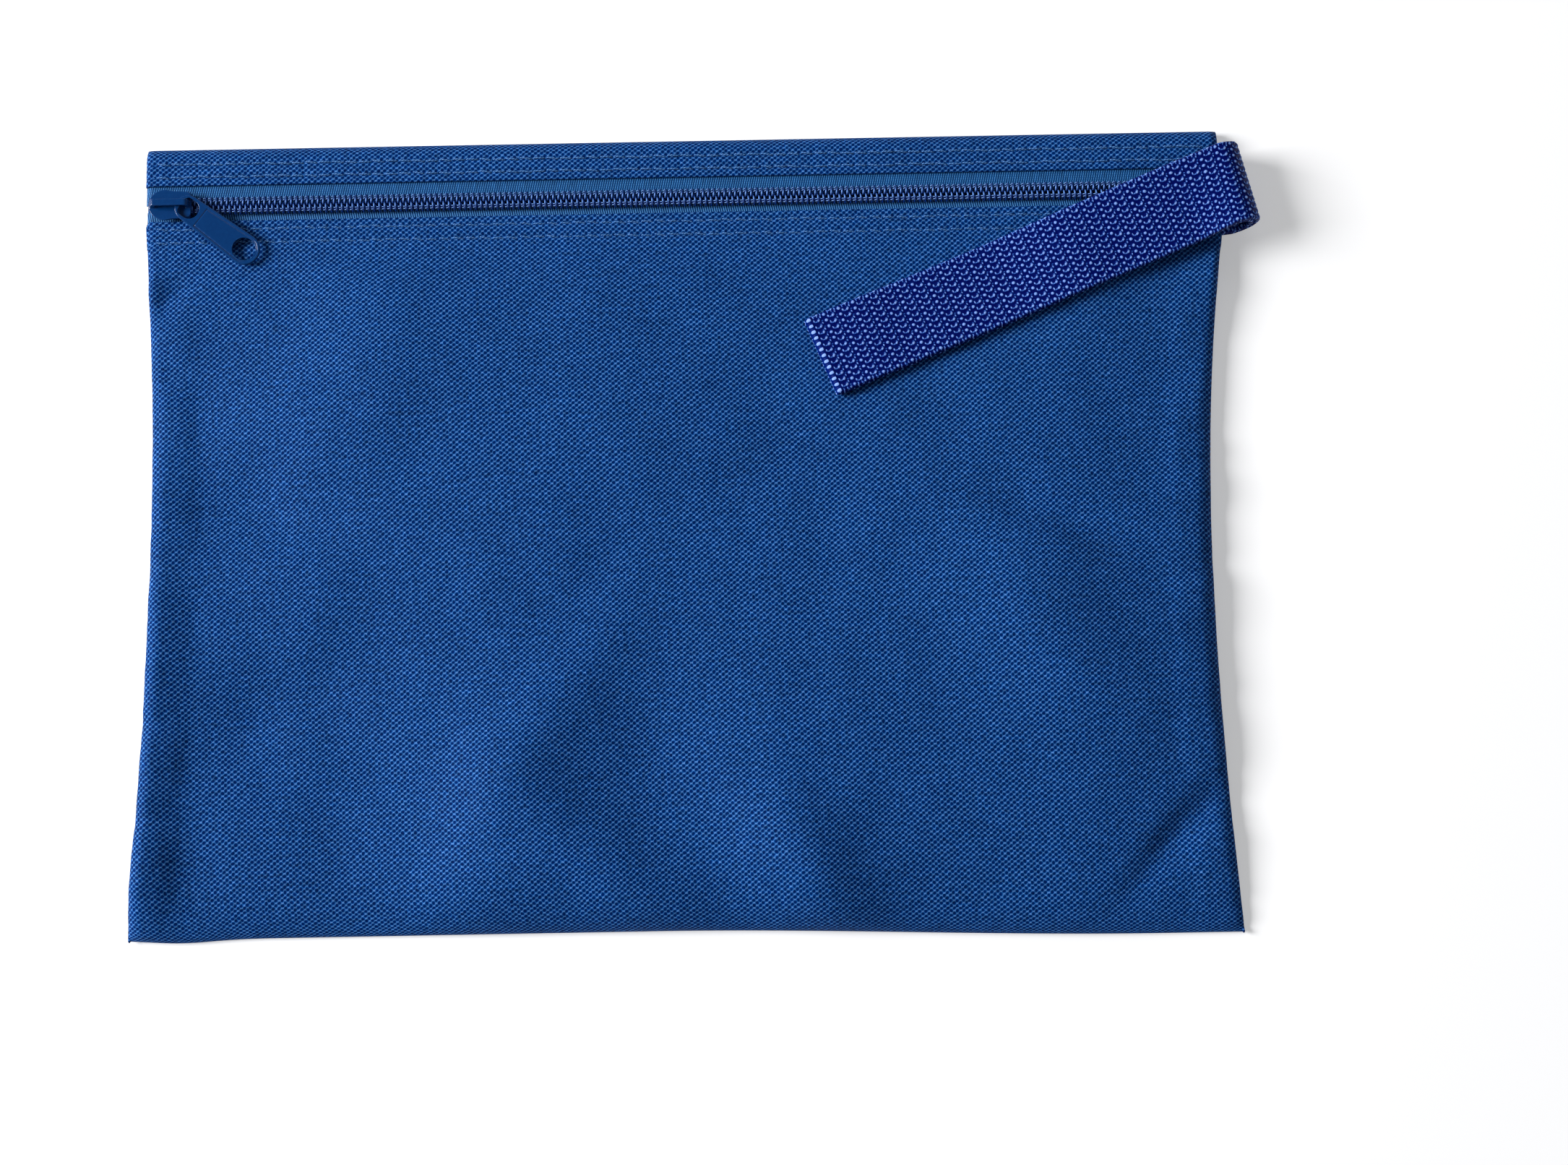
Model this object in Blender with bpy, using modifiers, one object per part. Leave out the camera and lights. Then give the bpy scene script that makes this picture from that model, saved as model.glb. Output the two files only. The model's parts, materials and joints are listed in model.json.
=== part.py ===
"""A zip-up cash deposit bag with a webbing wrist loop, lying on its back.

Metres, +Z up. +X is to the right and +Y towards the zip, seen from above.
The origin is the middle of the bag's box, on the surface that it lies on.
"""

import math

import bmesh
import bpy
from mathutils import Matrix, Vector

MM = 0.001

# Clearance between pieces that touch on the real bag
GAP = 0.3 * MM

# Cloth pouch
BAG_WIDTH = 330 * MM
BAG_HEIGHT = 240 * MM
WAIST_DRAW_IN = 4.7 * MM
CLOTH = 1.0 * MM
FULLNESS = 9.6 * MM
SIDE_RISE_RUN = 34 * MM
BOTTOM_RISE_RUN = 22 * MM
ZIP_LEVEL_RUN = 24 * MM
ZIP_RISE_RUN = 40 * MM
ALLOWANCE_WIDTH = 13 * MM
ALLOWANCE_END = 16 * MM
SEAM_INSET = 0.85 * MM

# Zip
TAPE_WIDTH = 12.7 * MM
TAPE_THICKNESS = 0.6 * MM
TAPE_EDGE = 1.1 * MM
TAPE_SHOWN_ABOVE = 3.8 * MM
TAPE_SHOWN_BELOW = 1.7 * MM
ZIP_END_INSET = 1.5 * MM
CHAIN_WIDTH = 5.6 * MM
COIL_HEIGHT = 2.0 * MM
COIL_PITCH = 1.63 * MM
COIL_MESH = 0.35 * MM
COIL_HEAD_GAP = 0.4 * MM
COIL_WALL = 0.45 * MM
COIL_ROOF = 0.6 * MM
FILLER_CORD = 0.7 * MM

# Slider and pull
SLIDER_LENGTH = 13 * MM
SLIDER_NOSE_WIDTH = 9.5 * MM
SLIDER_PLATE = 0.9 * MM
SLIDER_FLANGE = 0.8 * MM
FLANGE_LENGTH = 6.5 * MM
POST_WIDTH = 1.4 * MM
POST_LENGTH = 3.2 * MM
POST_SETBACK = 1.0 * MM
BRIDGE_WIDTH = 2.0 * MM
BRIDGE_BAR = 0.9 * MM
BRIDGE_FOOT = 1.2 * MM
BRIDGE_PLAY = 0.9 * MM
NOSE_INSET = 2.0 * MM
PULL_LENGTH = 30 * MM
PULL_THICKNESS = 1.1 * MM
PULL_EYE_WIDTH = 5.8 * MM
PULL_EYE_LENGTH = 6.0 * MM
PULL_RAIL = 1.1 * MM
PULL_BAR = 1.5 * MM
PULL_END_WIDTH = 9.6 * MM
PULL_END_HOLE = 7.0 * MM
EYE_CORNER = 1.1 * MM
PULL_YAW = math.radians(37)

# Thread
THREAD = 0.5 * MM
INNER_ROW = 2.7 * MM
UPPER_OUTER_ROW = 0.5 * MM
LOWER_OUTER_ROW = 2.4 * MM

# Wrist loop
WEBBING_WIDTH = 25 * MM
WEBBING = 1.9 * MM
LOOP_SLIT = 0.4 * MM
LOOP_LENGTH = 134 * MM
BEND_REACH = 45 * MM
STRAP_REACH = 8.0 * MM
ROOT_INSIDE = 12 * MM
STRAP_BELOW_CHAIN = 1.0 * MM
LIE_ANGLE = math.radians(22.3)
ROOT_ANGLE = math.radians(6)

# Colours
CLOTH_BLUE = (0.008, 0.065, 0.27)
TAPE_BLUE = (0.012, 0.09, 0.33)
COIL_NAVY = (0.004, 0.012, 0.06)
WEBBING_BLUE = (0.004, 0.012, 0.19)
ENAMEL_BLUE = (0.002, 0.045, 0.19)
THREAD_BLUE = (0.01, 0.08, 0.31)

# Facets
SIDE_STEPS = 12
PANEL_COLUMNS = 16
PANEL_ROWS = 16
ARC_STEPS = 8
HOLE_STEPS = 24
WELD = 0.001 * MM

# Heights of the layers, stacked up from the resting face
INSIDE_Z = CLOTH + GAP
ALLOWANCE_TOP = INSIDE_Z + 2 * CLOTH
ROOT_TOP = INSIDE_Z + 2 * WEBBING
TAPE_Z = max(ALLOWANCE_TOP + GAP + SLIDER_PLATE, ROOT_TOP) + GAP
TAPE_TOP = TAPE_Z + TAPE_THICKNESS
HEM_Z = TAPE_TOP + GAP
HEM_MID = HEM_Z + CLOTH / 2
HEM_TOP = HEM_Z + CLOTH
COIL_TOP = HEM_Z + COIL_HEIGHT
UPPER_PLATE_Z = max(COIL_TOP, HEM_TOP) + GAP
UPPER_PLATE_TOP = UPPER_PLATE_Z + SLIDER_PLATE
BRIDGE_Z = UPPER_PLATE_TOP + PULL_THICKNESS + BRIDGE_PLAY
BRIDGE_TOP = BRIDGE_Z + BRIDGE_BAR
PULL_Z = (UPPER_PLATE_TOP + BRIDGE_Z) / 2
FRONT_TOP = max(FULLNESS, HEM_TOP)
FRONT_MID = FRONT_TOP - CLOTH / 2
SIDE_MID = ALLOWANCE_TOP + GAP + CLOTH / 2
LIP_Z = INSIDE_Z + GAP

# Lines across the bag
TOP = BAG_HEIGHT / 2
LIP_RADIUS = HEM_MID - LIP_Z
LIP_START = TOP - CLOTH / 2 - LIP_RADIUS
CHAIN_Y = LIP_START - TAPE_WIDTH - TAPE_EDGE
FLAP_EDGE = CHAIN_Y + CHAIN_WIDTH / 2 + TAPE_SHOWN_ABOVE
HEM_EDGE = CHAIN_Y - CHAIN_WIDTH / 2 - TAPE_SHOWN_BELOW
UPPER_TAPE_END = CHAIN_Y + TAPE_EDGE + TAPE_WIDTH
LOWER_TAPE_END = CHAIN_Y - TAPE_EDGE - TAPE_WIDTH


def half_width(y):
    """Half the bag's width at a height up the front: the sides draw in between the corners."""
    return BAG_WIDTH / 2 - WAIST_DRAW_IN * (1 - (y / TOP) ** 2)


# Lines along the zip
ZIP_END = half_width(CHAIN_Y) - ZIP_END_INSET
SLIDER_NOSE = -half_width(CHAIN_Y) + NOSE_INSET
SLIDER_TAIL = SLIDER_NOSE + SLIDER_LENGTH
POST_END = SLIDER_NOSE + POST_SETBACK + POST_LENGTH
NOSE_FOOT = SLIDER_NOSE + POST_SETBACK

# Wrist loop: the fold stands across the line that halves the angle between root and loop
FOLD_ANGLE = (LIE_ANGLE + ROOT_ANGLE) / 2
FOLD_OUT = Vector((math.cos(FOLD_ANGLE), math.sin(FOLD_ANGLE), 0))
FOLD_LINE = Vector((-FOLD_OUT.y, FOLD_OUT.x, 0))
FOLD_WIDTH = WEBBING_WIDTH / math.cos(LIE_ANGLE - FOLD_ANGLE)
LOOP_OUT = Vector((-math.cos(LIE_ANGLE), -math.sin(LIE_ANGLE), 0))
ROOT_OUT = Vector((math.cos(ROOT_ANGLE), math.sin(ROOT_ANGLE), 0))
LOOP_Z = max(BRIDGE_TOP, FRONT_TOP) + GAP
LOOP_THICKNESS = 2 * WEBBING + LOOP_SLIT
ROOT_MID = (INSIDE_Z + ROOT_TOP) / 2
LOOP_MID = LOOP_Z + LOOP_THICKNESS / 2
FOLD_RADIUS = (LOOP_MID - ROOT_MID) / 2
FOLD_OUTER = FOLD_RADIUS + WEBBING
FOLD = Vector((
    BAG_WIDTH / 2 + STRAP_REACH - FOLD_OUTER * FOLD_OUT.x,
    CHAIN_Y - STRAP_BELOW_CHAIN,
    (LOOP_MID + ROOT_MID) / 2,
))
LOOP_DIP = math.asin((LOOP_Z - FRONT_TOP - GAP) / LOOP_LENGTH)

# The fold reaches past the right corner, so the bag's middle is moved to the middle of the box
RIGHT_REACH = FOLD.x + FOLD_OUTER * FOLD_OUT.x + FOLD_WIDTH / 2 * abs(FOLD_LINE.x)
BAG_SHIFT = (RIGHT_REACH - BAG_WIDTH / 2) / 2

# The pull droops until its far end lies just over the topstitch
THREAD_TOP = HEM_TOP + GAP + THREAD
PULL_DROOP = math.asin((PULL_Z - PULL_THICKNESS / 2 - GAP - THREAD_TOP) / PULL_LENGTH)

# Joint axes, in the bag's own frame
MOUTH_HINGE = Vector((0, TOP, INSIDE_Z - GAP / 2))
PULL_ACROSS = Vector((math.sin(PULL_YAW), math.cos(PULL_YAW), 0))


def smooth(share):
    """0 to 1 with level ends."""
    share = min(max(share, 0), 1)
    return share * share * (3 - 2 * share)


def new_collection(name):
    collection = bpy.data.collections.new(name)
    bpy.context.scene.collection.children.link(collection)
    return collection


def material(name, colour, roughness, metallic=0.0):
    made = bpy.data.materials.new(name)
    made.use_nodes = True
    shader = made.node_tree.nodes["Principled BSDF"]
    shader.inputs["Base Color"].default_value = (*colour, 1)
    shader.inputs["Roughness"].default_value = roughness
    shader.inputs["Metallic"].default_value = metallic
    return made


def put(name, data, parent, finish=None, where=(0, 0, 0)):
    """A named part at a place in the bag's frame, carried by an empty."""
    part = bpy.data.objects.new(name, data)
    parts.objects.link(part)
    part.parent = parent
    anchor = Vector((0, 0, 0)) if parent is bag else parent.location
    part.location = Vector(where) - anchor
    if finish:
        data.materials.append(finish)
    return part


def empty(name, where, parent=None):
    made = bpy.data.objects.new(name, None)
    parts.objects.link(made)
    made.parent = parent
    made.location = where
    return made


def flat_outline(name, loops, thickness):
    """A 2D curve of one outline and its holes, as thick as asked."""
    curve = bpy.data.curves.new(name, "CURVE")
    curve.dimensions = "2D"
    curve.fill_mode = "BOTH"
    curve.extrude = thickness / 2
    for loop in loops:
        spline = curve.splines.new("POLY")
        spline.points.add(len(loop) - 1)
        for point, (x, y) in zip(spline.points, loop):
            point.co = (x, y, 0, 1)
        spline.use_cyclic_u = True
    return curve


def slab(name, loops, low, high, parent, finish=None):
    """A flat outline in plan, between two heights."""
    curve = flat_outline(name, loops, high - low)
    return put(name, curve, parent, finish, (0, 0, (low + high) / 2))


def tube(name, points, diameter, parent, finish):
    curve = bpy.data.curves.new(name, "CURVE")
    curve.dimensions = "3D"
    curve.bevel_depth = diameter / 2
    curve.bevel_resolution = 2
    curve.use_fill_caps = True
    spline = curve.splines.new("POLY")
    spline.points.add(len(points) - 1)
    for point, place in zip(spline.points, points):
        point.co = (*place, 1)
    return put(name, curve, parent, finish)


def sheet(name, grid, parent, finish):
    """A cloth panel: an open grid of points, thickened to both sides."""
    mesh = bpy.data.meshes.new(name)
    form = bmesh.new()
    rows = [[form.verts.new(point) for point in row] for row in grid]
    for lower, upper in zip(rows, rows[1:]):
        for step in range(len(lower) - 1):
            form.faces.new((lower[step], lower[step + 1], upper[step + 1], upper[step]))
    bmesh.ops.recalc_face_normals(form, faces=form.faces)
    form.to_mesh(mesh)
    form.free()
    mesh.shade_smooth()
    panel = put(name, mesh, parent, finish)
    thicken = panel.modifiers.new("cloth", "SOLIDIFY")
    thicken.thickness = CLOTH
    thicken.offset = 0
    thicken.use_even_offset = True
    return panel


def loft(name, sections, parent, finish):
    """A closed skin through four-cornered sections."""
    mesh = bpy.data.meshes.new(name)
    form = bmesh.new()
    rings = [[form.verts.new(corner) for corner in section] for section in sections]
    for ring, following in zip(rings, rings[1:]):
        for side in range(4):
            after = (side + 1) % 4
            form.faces.new((ring[side], ring[after], following[after], following[side]))
    form.faces.new(rings[0])
    form.faces.new(rings[-1])
    bmesh.ops.recalc_face_normals(form, faces=form.faces)
    form.to_mesh(mesh)
    form.free()
    return put(name, mesh, parent, finish)


def as_mesh(curve_part, name):
    """The same part as a welded mesh, so that it can be cut or joined."""
    bpy.context.view_layer.update()
    graph = bpy.context.evaluated_depsgraph_get()
    mesh = bpy.data.meshes.new_from_object(curve_part.evaluated_get(graph))
    mesh.name = name
    form = bmesh.new()
    form.from_mesh(mesh)
    bmesh.ops.remove_doubles(form, verts=form.verts, dist=WELD)
    bmesh.ops.recalc_face_normals(form, faces=form.faces)
    form.to_mesh(mesh)
    form.free()
    part = bpy.data.objects.new(name, mesh)
    parts.objects.link(part)
    part.parent = curve_part.parent
    part.location = curve_part.location
    part.rotation_euler = curve_part.rotation_euler
    bpy.data.objects.remove(curve_part)
    part.name = name
    return part


def block(name, low, high, parent, finish=None):
    """A plain box between two corners."""
    mesh = bpy.data.meshes.new(name)
    form = bmesh.new()
    size = Vector(high) - Vector(low)
    middle = (Vector(high) + Vector(low)) / 2
    fit = Matrix.Translation(middle) @ Matrix.Diagonal((*size, 1))
    bmesh.ops.create_cube(form, size=1, matrix=fit)
    form.to_mesh(mesh)
    form.free()
    return put(name, mesh, parent, finish)


def combine(part, other, operation, solver="EXACT"):
    """Joins a helper to a part, or cuts it out, and sets the helper aside."""
    change = part.modifiers.new(other.name, "BOOLEAN")
    change.operation = operation
    change.solver = solver
    change.object = other
    parts.objects.unlink(other)
    cutters.objects.link(other)
    other.hide_render = True
    other.display_type = "WIRE"


def side_points(low, high, side, inset):
    """Points up one side of the bag, a step in from its edge."""
    heights = [low + (high - low) * step / SIDE_STEPS for step in range(SIDE_STEPS + 1)]
    return [(side * (half_width(y) - inset), y) for y in heights]


def front_height(x, y):
    """Height of the front panel's middle layer: swollen in the middle, low at the sides and bottom."""
    from_side = half_width(y) - abs(x)
    from_bottom = y + TOP - CLOTH / 2
    to_zip = smooth((y - (HEM_EDGE - ZIP_LEVEL_RUN - ZIP_RISE_RUN)) / ZIP_RISE_RUN)
    crown = FRONT_MID + (HEM_MID - FRONT_MID) * to_zip
    edge = SIDE_MID + (HEM_MID - SIDE_MID) * to_zip
    level = edge + (crown - edge) * smooth(from_side / SIDE_RISE_RUN)
    share = 1 - min(max(from_bottom / BOTTOM_RISE_RUN, 0), 1)
    return LIP_Z + (level - LIP_Z) * math.sqrt(1 - share * share)


def make_panels(cloth_front, cloth_back, cloth_flap):
    """Front, back and the strip above the zip."""
    left = side_points(-TOP, TOP, -1, 0)
    right = side_points(-TOP, TOP, 1, 0)
    slab("back_panel", [right + left[::-1]], 0, CLOTH, bag, cloth_back)

    across = [math.sin(math.pi * (step / PANEL_COLUMNS - 0.5)) for step in range(PANEL_COLUMNS + 1)]
    bottom = -TOP + CLOTH / 2
    rise = HEM_EDGE - bottom
    up = [1 - math.cos(math.pi / 2 * step / PANEL_ROWS) for step in range(PANEL_ROWS + 1)]
    heights = [bottom + rise * share for share in up]
    grid = []
    for y in heights:
        row = [(share * half_width(y), y) for share in across]
        grid.append([(x, y, front_height(x, y)) for x, y in row])
    sheet("front_panel", grid, bag, cloth_front)

    turns = [math.pi / 2 * (1 - step / ARC_STEPS) for step in range(ARC_STEPS + 1)]
    profile = [(FLAP_EDGE, HEM_MID)]
    for turn in turns:
        y = LIP_START + LIP_RADIUS * math.cos(turn)
        profile.append((y, LIP_Z + LIP_RADIUS * math.sin(turn)))
    flap_grid = []
    for y, z in profile:
        flap_grid.append([(side * half_width(y), y, z) for side in (-1, 0, 1)])
    sheet("top_flap", flap_grid, mouth, cloth_flap)


def make_seams(cloth, thread):
    """The cloth turned in along each side, and the thread that holds it."""
    outer = SEAM_INSET + THREAD / 2 + GAP
    ends = {"left": (-1, LIP_START), "right": (1, root_corners()[0][1] - GAP)}
    for name, (side, high) in ends.items():
        low = -TOP + ALLOWANCE_END
        edge = side_points(low, high, side, outer)
        inner = side_points(low, high, side, outer + ALLOWANCE_WIDTH)
        slab(name + "_seam_allowance", [edge + inner[::-1]], INSIDE_Z, ALLOWANCE_TOP, bag, cloth)
        line = side_points(low, high, side, SEAM_INSET)
        middle = (INSIDE_Z + ALLOWANCE_TOP) / 2
        tube(name + "_seam_thread", [(x, y, middle) for x, y in line], THREAD, bag, thread)


def coil_outline(side, start, end):
    """Plan of one coil: a straight outer side, and heads that reach between the other coil's."""
    heads = int((end - start) / COIL_PITCH)
    tip = CHAIN_Y - side * COIL_MESH
    valley = CHAIN_Y + side * (COIL_MESH + COIL_HEAD_GAP)
    inner = []
    for step in range(2 * heads + 1):
        is_tip = step % 2 == (0 if side > 0 else 1)
        inner.append((start + step * COIL_PITCH / 2, tip if is_tip else valley))
    outer = CHAIN_Y + side * CHAIN_WIDTH / 2
    return inner + [(inner[-1][0], outer), (start, outer)]


def make_zip_half(name, side, carrier, row_edge, row_end, finishes):
    """One tape with its coil, the cord inside the coil and two rows of topstitch."""
    tape_finish, coil_finish, cord_finish, thread_finish = finishes
    near = CHAIN_Y + side * TAPE_EDGE
    far = near + side * TAPE_WIDTH
    low = (-ZIP_END, min(near, far), TAPE_Z)
    high = (ZIP_END, max(near, far), TAPE_TOP)
    block(name + "_zipper_tape", low, high, carrier, tape_finish)

    start = POST_END + GAP
    plain = slab(name + "_coil_plan", [coil_outline(side, start, ZIP_END)], HEM_Z, COIL_TOP, carrier)
    coil = as_mesh(plain, name + "_coil")
    coil.data.materials.append(coil_finish)
    cord_y = CHAIN_Y + side * (CHAIN_WIDTH / 2 - COIL_WALL - GAP - FILLER_CORD / 2)
    half = FILLER_CORD / 2 + GAP
    groove_low = (start - COIL_PITCH, cord_y - half, HEM_Z - GAP)
    groove_high = (ZIP_END + COIL_PITCH, cord_y + half, COIL_TOP - COIL_ROOF)
    groove = block(name + "_coil_groove", groove_low, groove_high, carrier)
    combine(coil, groove, "DIFFERENCE", "MANIFOLD")
    cord_z = HEM_Z + FILLER_CORD / 2
    ends = [(start, cord_y, cord_z), (ZIP_END, cord_y, cord_z)]
    tube(name + "_coil_cord", ends, FILLER_CORD, carrier, cord_finish)

    thread_z = THREAD_TOP - THREAD / 2
    for row, y in (("inner", row_edge), ("outer", row_end)):
        reach = half_width(y) - ZIP_END_INSET
        line = [(-reach, y, thread_z), (reach, y, thread_z)]
        tube(name + "_" + row + "_topstitch", line, THREAD, carrier, thread_finish)


def plate_outline():
    """Plan of a slider plate: wide and round at the nose, narrower from its waist to its tail."""
    tail = CHAIN_WIDTH / 2 + GAP + SLIDER_FLANGE + GAP / 2
    nose = SLIDER_NOSE_WIDTH / 2
    waist = SLIDER_TAIL - FLANGE_LENGTH
    turns = [math.pi * (0.5 + 2 * step / HOLE_STEPS) for step in range(HOLE_STEPS // 2 + 1)]
    bow = min(nose, SLIDER_LENGTH - FLANGE_LENGTH - GAP)
    round_end = []
    for turn in turns:
        round_end.append((SLIDER_NOSE + bow * (1 + math.cos(turn)), CHAIN_Y + nose * math.sin(turn)))
    # From the upper shoulder round the nose to the lower shoulder, then along the tail
    tail_end = [
        (waist, CHAIN_Y - tail),
        (SLIDER_TAIL, CHAIN_Y - tail),
        (SLIDER_TAIL, CHAIN_Y + tail),
        (waist, CHAIN_Y + tail),
    ]
    return round_end + tail_end


def make_slider(enamel):
    """Two plates joined by the divider post, with side flanges and the bridge that holds the pull."""
    lower_low = TAPE_Z - GAP - SLIDER_PLATE
    outline = plate_outline()
    plan = slab("slider_plan", [outline], lower_low, TAPE_Z - GAP, runner)
    body = as_mesh(plan, "slider_body")
    body.data.materials.append(enamel)
    top = as_mesh(slab("top_plan", [outline], UPPER_PLATE_Z, UPPER_PLATE_TOP, runner), "top_plate")
    combine(body, top, "UNION")
    sink = SLIDER_PLATE / 2
    post_low = (SLIDER_NOSE + POST_SETBACK, CHAIN_Y - POST_WIDTH / 2, lower_low + sink)
    post_high = (POST_END, CHAIN_Y + POST_WIDTH / 2, UPPER_PLATE_Z + sink)
    combine(body, block("divider_post", post_low, post_high, runner), "UNION")
    inner = CHAIN_WIDTH / 2 + GAP
    for name, side in (("upper_flange", 1), ("lower_flange", -1)):
        ends = sorted((CHAIN_Y + side * inner, CHAIN_Y + side * (inner + SLIDER_FLANGE)))
        flange_low = (SLIDER_TAIL - FLANGE_LENGTH + GAP, ends[0], HEM_Z)
        flange_high = (SLIDER_TAIL - GAP, ends[1], UPPER_PLATE_Z + sink)
        combine(body, block(name, flange_low, flange_high, runner), "UNION")
    base = UPPER_PLATE_TOP - sink
    chamfer = BRIDGE_BAR / 2
    right = SLIDER_TAIL - GAP
    profile = [
        (NOSE_FOOT, base),
        (NOSE_FOOT, BRIDGE_TOP - chamfer),
        (NOSE_FOOT + chamfer, BRIDGE_TOP),
        (right - chamfer, BRIDGE_TOP),
        (right, BRIDGE_TOP - chamfer),
        (right, base),
        (right - BRIDGE_FOOT, base),
        (right - BRIDGE_FOOT, BRIDGE_Z),
        (NOSE_FOOT + BRIDGE_FOOT, BRIDGE_Z),
        (NOSE_FOOT + BRIDGE_FOOT, base),
    ]
    arch = put("arch_profile", flat_outline("arch_profile", [profile], BRIDGE_WIDTH), runner)
    arch.location.y += CHAIN_Y
    arch.rotation_euler.x = math.pi / 2
    combine(body, as_mesh(arch, "bridge"), "UNION")


def pull_place():
    """Where the pull's bar crosses under the bridge, clear of the bridge's tail foot."""
    skew = math.tan(PULL_YAW) * BRIDGE_WIDTH / 2 + PULL_BAR / 2 / math.cos(PULL_YAW)
    bar = Vector((SLIDER_TAIL - GAP - BRIDGE_FOOT - skew - GAP, CHAIN_Y, PULL_Z))
    # How far the bridge reaches along the bar: its foot with the tab down, its arch with the tab up
    foot = (skew + GAP + BRIDGE_FOOT) * math.sin(PULL_YAW) + BRIDGE_WIDTH / 2 * math.cos(PULL_YAW)
    arch = BRIDGE_WIDTH / 2 / math.cos(PULL_YAW) + PULL_THICKNESS / 2 * math.tan(PULL_YAW)
    return bar + PULL_ACROSS * (foot - arch) / 2


def make_pull(enamel):
    """The tapered tab: a bar and eye round the bridge at one end, and a round hole at the other."""
    eye_start = PULL_BAR / 2
    eye_half = PULL_EYE_WIDTH / 2
    near_half = eye_half + PULL_RAIL
    far_half = PULL_END_WIDTH / 2
    far = PULL_LENGTH - PULL_BAR / 2 - far_half
    outline = [(-eye_start, near_half - PULL_RAIL / 2), (-eye_start + PULL_RAIL / 2, near_half)]
    for step in range(HOLE_STEPS // 2 + 1):
        turn = math.pi * (0.5 - 2 * step / HOLE_STEPS)
        outline.append((far + far_half * math.cos(turn), far_half * math.sin(turn)))
    outline += [(-eye_start + PULL_RAIL / 2, -near_half), (-eye_start, -near_half + PULL_RAIL / 2)]
    corner = EYE_CORNER / 4
    eye_end = eye_start + PULL_EYE_LENGTH
    eye = [
        (eye_start, eye_half - corner),
        (eye_start + corner, eye_half),
        (eye_end - EYE_CORNER, eye_half),
        (eye_end, eye_half - EYE_CORNER),
        (eye_end, EYE_CORNER - eye_half),
        (eye_end - EYE_CORNER, -eye_half),
        (eye_start + corner, -eye_half),
        (eye_start, corner - eye_half),
    ]
    hole = []
    for step in range(HOLE_STEPS):
        turn = 2 * math.pi * step / HOLE_STEPS
        hole.append((far + PULL_END_HOLE / 2 * math.cos(turn), PULL_END_HOLE / 2 * math.sin(turn)))
    curve = flat_outline("pull_tab", [outline, eye, hole], PULL_THICKNESS)
    tab = put("pull_tab", curve, pull_hinge, enamel, pull_hinge.location)
    tab.rotation_euler = (0, PULL_DROOP, -PULL_YAW)


def root_corners():
    """Plan of the webbing's sewn end, from inside the seam out to the fold, lower corners first."""
    inside = half_width(CHAIN_Y) - ROOT_INSIDE
    sideways = Vector((-ROOT_OUT.y, ROOT_OUT.x, 0)) * WEBBING_WIDTH / 2
    start = FOLD + ROOT_OUT * ((inside - FOLD.x) / ROOT_OUT.x)
    end = FOLD - ROOT_OUT * GAP
    fold_half = FOLD_LINE * FOLD_WIDTH / 2
    corners = (start - sideways, end - fold_half, end + fold_half, start + sideways)
    return [(corner.x, corner.y) for corner in corners]


def make_strap(webbing_root, webbing_bend):
    """Doubled webbing: sewn ends, the fold that brings it back over the bag, and the two runs of the loop."""
    slab("strap_root", [root_corners()], INSIDE_Z, ROOT_TOP, bag, webbing_root)

    sections = []
    for step in range(2 * ARC_STEPS + 1):
        turn = math.pi * (step / (2 * ARC_STEPS) - 0.5)
        outward = FOLD_OUT * math.cos(turn) + Vector((0, 0, math.sin(turn)))
        sections.append(strap_section(FOLD + outward * FOLD_RADIUS, FOLD_LINE * FOLD_WIDTH / 2, outward))
    tilt = Vector((0, 0, -math.sin(LOOP_DIP)))
    ahead = LOOP_OUT * math.cos(LOOP_DIP) + tilt
    over = Vector((0, 0, 1))
    sideways = LOOP_OUT.cross(over)
    crest = FOLD + over * FOLD_RADIUS
    upright = sideways.cross(ahead)
    sections.append(strap_section(crest + ahead * BEND_REACH, sideways * WEBBING_WIDTH / 2, upright))
    loft("strap_bend", sections, strap, webbing_bend)

    start = BEND_REACH + GAP
    outer = LOOP_THICKNESS / 2
    slit = LOOP_SLIT / 2
    nose = LOOP_LENGTH - outer
    end_turn = []
    for step in range(ARC_STEPS + 1):
        turn = math.pi * (step / ARC_STEPS - 0.5)
        end_turn.append((nose + outer * math.cos(turn), outer * math.sin(turn)))
    layers = {
        "strap_upper_run": [(start, slit), (nose - GAP, slit), (nose - GAP, outer), (start, outer)],
        "strap_lower_run": [(start, -outer), (nose - GAP, -outer), (nose - GAP, -slit), (start, -slit)],
        "strap_end_turn": end_turn,
    }
    lie = Matrix((ahead, upright, sideways)).transposed().to_euler()
    for name, profile in layers.items():
        finish = material(name + "_webbing", WEBBING_BLUE, 0.6)
        layer = put(name, flat_outline(name, [profile], WEBBING_WIDTH), strap, finish, crest)
        layer.rotation_euler = lie


def strap_section(middle, half_across, outward):
    """Four corners of the doubled webbing where it is cut square to its run."""
    half_thick = outward * WEBBING
    return (
        middle - half_across - half_thick,
        middle + half_across - half_thick,
        middle + half_across + half_thick,
        middle - half_across + half_thick,
    )


for stale in list(bpy.data.objects):
    bpy.data.objects.remove(stale)

parts = new_collection("cash_deposit_bag")
cutters = new_collection("cutters")
bag = empty("bag", (-BAG_SHIFT, 0, 0))
mouth = empty("mouth_hinge", MOUTH_HINGE, bag)
runner = empty("slider_runner", (SLIDER_NOSE, CHAIN_Y, TAPE_Z), bag)
pull_hinge = empty("pull_hinge", pull_place(), bag)
strap = empty("strap_hinge", FOLD, bag)

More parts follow.
